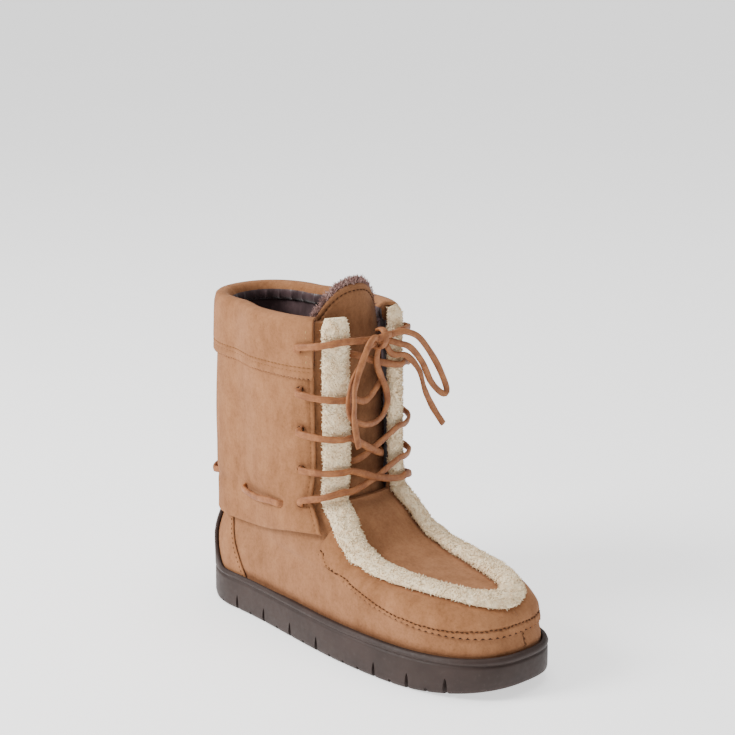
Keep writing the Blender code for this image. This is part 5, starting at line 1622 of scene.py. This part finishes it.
KNOT = (1.068, 0.151, 0.933)
ROUTES = {
    "lace_loop_left": (
        (1.095, -0.261, 0.916), (1.089, -0.427, 0.874), (1.093, -0.659, 0.828), (1.102, -0.797, 0.765),
        (1.111, -0.736, 0.714), (1.111, -0.482, 0.690), (1.095, -0.195, 0.679), (1.079, 0.054, 0.682),
        (1.059, 0.258, 0.696), (1.047, 0.401, 0.730), (1.043, 0.346, 0.774), (1.047, 0.192, 0.818),
        (1.061, 0.059, 0.859), (1.075, 0.048, 0.893),
    ),
    "lace_loop_right": (
        (1.111, 0.504, 0.946), (1.116, 0.714, 0.942), (1.118, 1.023, 0.921), (1.118, 1.299, 0.878),
        (1.116, 1.609, 0.814), (1.118, 1.841, 0.746), (1.125, 1.841, 0.721), (1.120, 1.686, 0.727),
        (1.113, 1.421, 0.769), (1.118, 1.156, 0.837), (1.118, 0.824, 0.891), (1.111, 0.526, 0.911),
    ),
    "lace_end_left": (
        (1.143, -0.241, 0.948), (1.145, -0.379, 0.928), (1.143, -0.523, 0.887), (1.145, -0.656, 0.844),
        (1.148, -0.749, 0.800), (1.150, -0.755, 0.756), (1.152, -0.771, 0.719), (1.150, -0.705, 0.664),
        (1.143, -0.622, 0.623),
    ),
    "lace_end_right": (
        (1.063, 0.493, 0.874), (1.097, 0.780, 0.865), (1.116, 1.079, 0.814), (1.113, 1.255, 0.747),
        (1.104, 1.509, 0.684), (1.120, 1.774, 0.624),
    ),
}


def route_point(shares):
    along, across, up = shares
    return np.array([along * SHAFT_FRONT, across * THROAT_HALF, up * COLLAR_HEIGHT])


def build_knot():
    centre = route_point(KNOT)
    spots = []
    arms = []
    for side in (-1, 1):
        first = up_and_over(0, side, level_height(centre[2]) + 0.002)
        points = into_hole(0, side) + first + [centre + np.array([0, side * KNOT_SIZE * 0.4, 0])]
        route = smooth_route(points, 0.0016)
        arms.append(lace_mesh("knot_arm_" + ("left" if side < 0 else "right"), route, 20 + side, turns=0.2))
    for arm in arms:
        ride(arm, "lace_knot", slot="thong")
    # Two turns of the thong round the crossing make the knot
    def turn(name, start, sweep_by, tilt, wide, tall, shift):
        angle = np.linspace(start, start + sweep_by, 60)
        y = np.cos(angle) * wide
        x = np.sin(angle) * 0.0048
        z = np.sin(angle + tilt) * tall
        route = centre[None, :] + np.stack([x, y, z], axis=1) + np.array(shift)
        out = unit(np.stack([np.sin(angle) * 1.4, np.cos(angle), np.zeros(60)], axis=1))
        piece = tube_mesh(name, route, out, LACE_WIDTH * 1.1, LACE_THICKNESS, THONG)
        ride(piece, "lace_knot", slot="thong")

    turn("knot_turn_across", -0.6, 4.4, 0.3, 0.0062, 0.0022, (0.0006, 0.0, 0.0006))
    turn("knot_turn_back", 1.9, 4.2, -0.5, 0.0058, 0.0028, (-0.0012, 0.0, -0.0020))
    angle = np.linspace(-2.0, 2.2, 50)
    route = centre[None, :] + np.stack([np.cos(angle) * 0.0058, -0.001 + angle * 0.0009, np.sin(angle) * 0.0062], axis=1)
    out = unit(np.stack([np.cos(angle), np.zeros(50), np.sin(angle)], axis=1))
    ride(tube_mesh("knot_turn_over", route, out, LACE_WIDTH * 1.15, LACE_THICKNESS, THONG), "lace_knot", slot="thong")


build_knot()


def build_loose_lace():
    """The bow's loops and ends, each a free flat thong that starts inside the knot."""
    centre = route_point(KNOT)
    for seed, (name, rows) in enumerate(ROUTES.items()):
        points = [route_point(row) for row in rows]
        points.insert(0, mix(points[0], centre, 0.55))
        loop = "loop" in name
        if loop:
            points.append(mix(points[-1], centre, 0.55))
        route = smooth_route(points, 0.0016)
        out = np.tile([1.0, 0.0, 0.0], (len(route), 1))
        t = np.linspace(0, 1, len(route))
        twist = 0.45 * np.sin(t * math.pi * 3 + seed) * np.minimum(1, np.minimum(t, 1 - t) * 6)
        taper = 1 + 0.04 * np.sin(t * 37 + seed)
        piece = tube_mesh("leather_" + name, route, out, LACE_WIDTH, LACE_THICKNESS, THONG, twist=twist, taper=taper)
        ride(piece, name, slot="thong")


build_loose_lace()


def thong_places():
    front, rear = TOE_REACH * 0.250, TOE_REACH * 0.055
    outer = [float(side_around(front, THONG_HEIGHT)), float(side_around(rear, THONG_HEIGHT)), HEEL_SHARE * 0.52]
    return outer + [2 - a for a in reversed(outer)]


def build_thong():
    """Ankle thong: three long stitches that dive into the leather at both ends."""
    places = thong_places()
    lift = float(wrap_over(THONG_HEIGHT)) + LACE_THICKNESS / 2 + LACE_OFF
    for name, first, last in (("outer", 0, 1), ("back", 2, 3), ("inner", 4, 5)):
        start, end = places[first], places[last] - (2 if name == "back" else 0)
        t = np.linspace(-0.03, 1.03, 60)
        around = mix(start, end, t)
        dive = smooth_step(np.abs(2 * t - 1), 0.90, 1.06)
        rise = lift + 0.0006 * np.sin(np.clip(t, 0, 1) * math.pi) - (0.0052 if name == "back" else 0.0050) * dive
        height = np.full(len(t), THONG_HEIGHT) + 0.0005 * np.sin(t * 7)
        route = skin(height, around, rise)
        piece = tube_mesh("ankle_lace_" + name, route, normal(height, around), LACE_WIDTH * 1.05, LACE_THICKNESS, THONG)
        ride(piece, "ankle_thong_" + name, slot="thong")


build_thong()


def build_insole():
    """Wool-lined footbed with a soft dip along its middle."""
    columns = np.linspace(0, 2, 180, endpoint=False)
    lift = -(UPPER_WALL + 0.0008)
    base = SOLE_FLOOR + CLEARANCE
    top = base + 0.0050
    rings = []
    for height, inset in ((base, 0.0006), (base + 0.0008, 0.0), (top - 0.0012, 0.0), (top - 0.0004, 0.0006), (top, 0.0016)):
        ring = skin(np.full(len(columns), height), columns, np.full(len(columns), lift - inset))
        ring[:, 2] = height
        rings.append(ring)
    middle = rings[-1].copy()
    middle[:, 1] = rings[-1][:, 1].mean()
    for share in (0.15, 0.35, 0.6, 0.85):
        ring = mix(rings[4], middle, share)
        ring[:, 0] = mix(rings[4][:, 0], np.clip(rings[4][:, 0], -0.030, 0.205), share)
        ring[:, 2] = top - 0.0010 * math.sin(share * math.pi / 2)
        rings.append(ring)
    rings = np.array(rings)
    count, size = rings.shape[:2]
    faces = grid_faces(count, size, wrap=True)
    faces.append(tuple(range(size))[::-1])
    last = (count - 1) * size
    half = size // 2
    for j in range(half):
        face = (last + j, last + j + 1, last + (size - j - 1) % size, last + (size - j) % size)
        faces.append(face if j else (last, last + 1, last + size - 1))
    footbed = make_mesh("wool_footbed", rings.reshape(-1, 3), faces, [PILE])
    recalculate(footbed)
    ride(footbed, "insole", slot="wool")


build_insole()
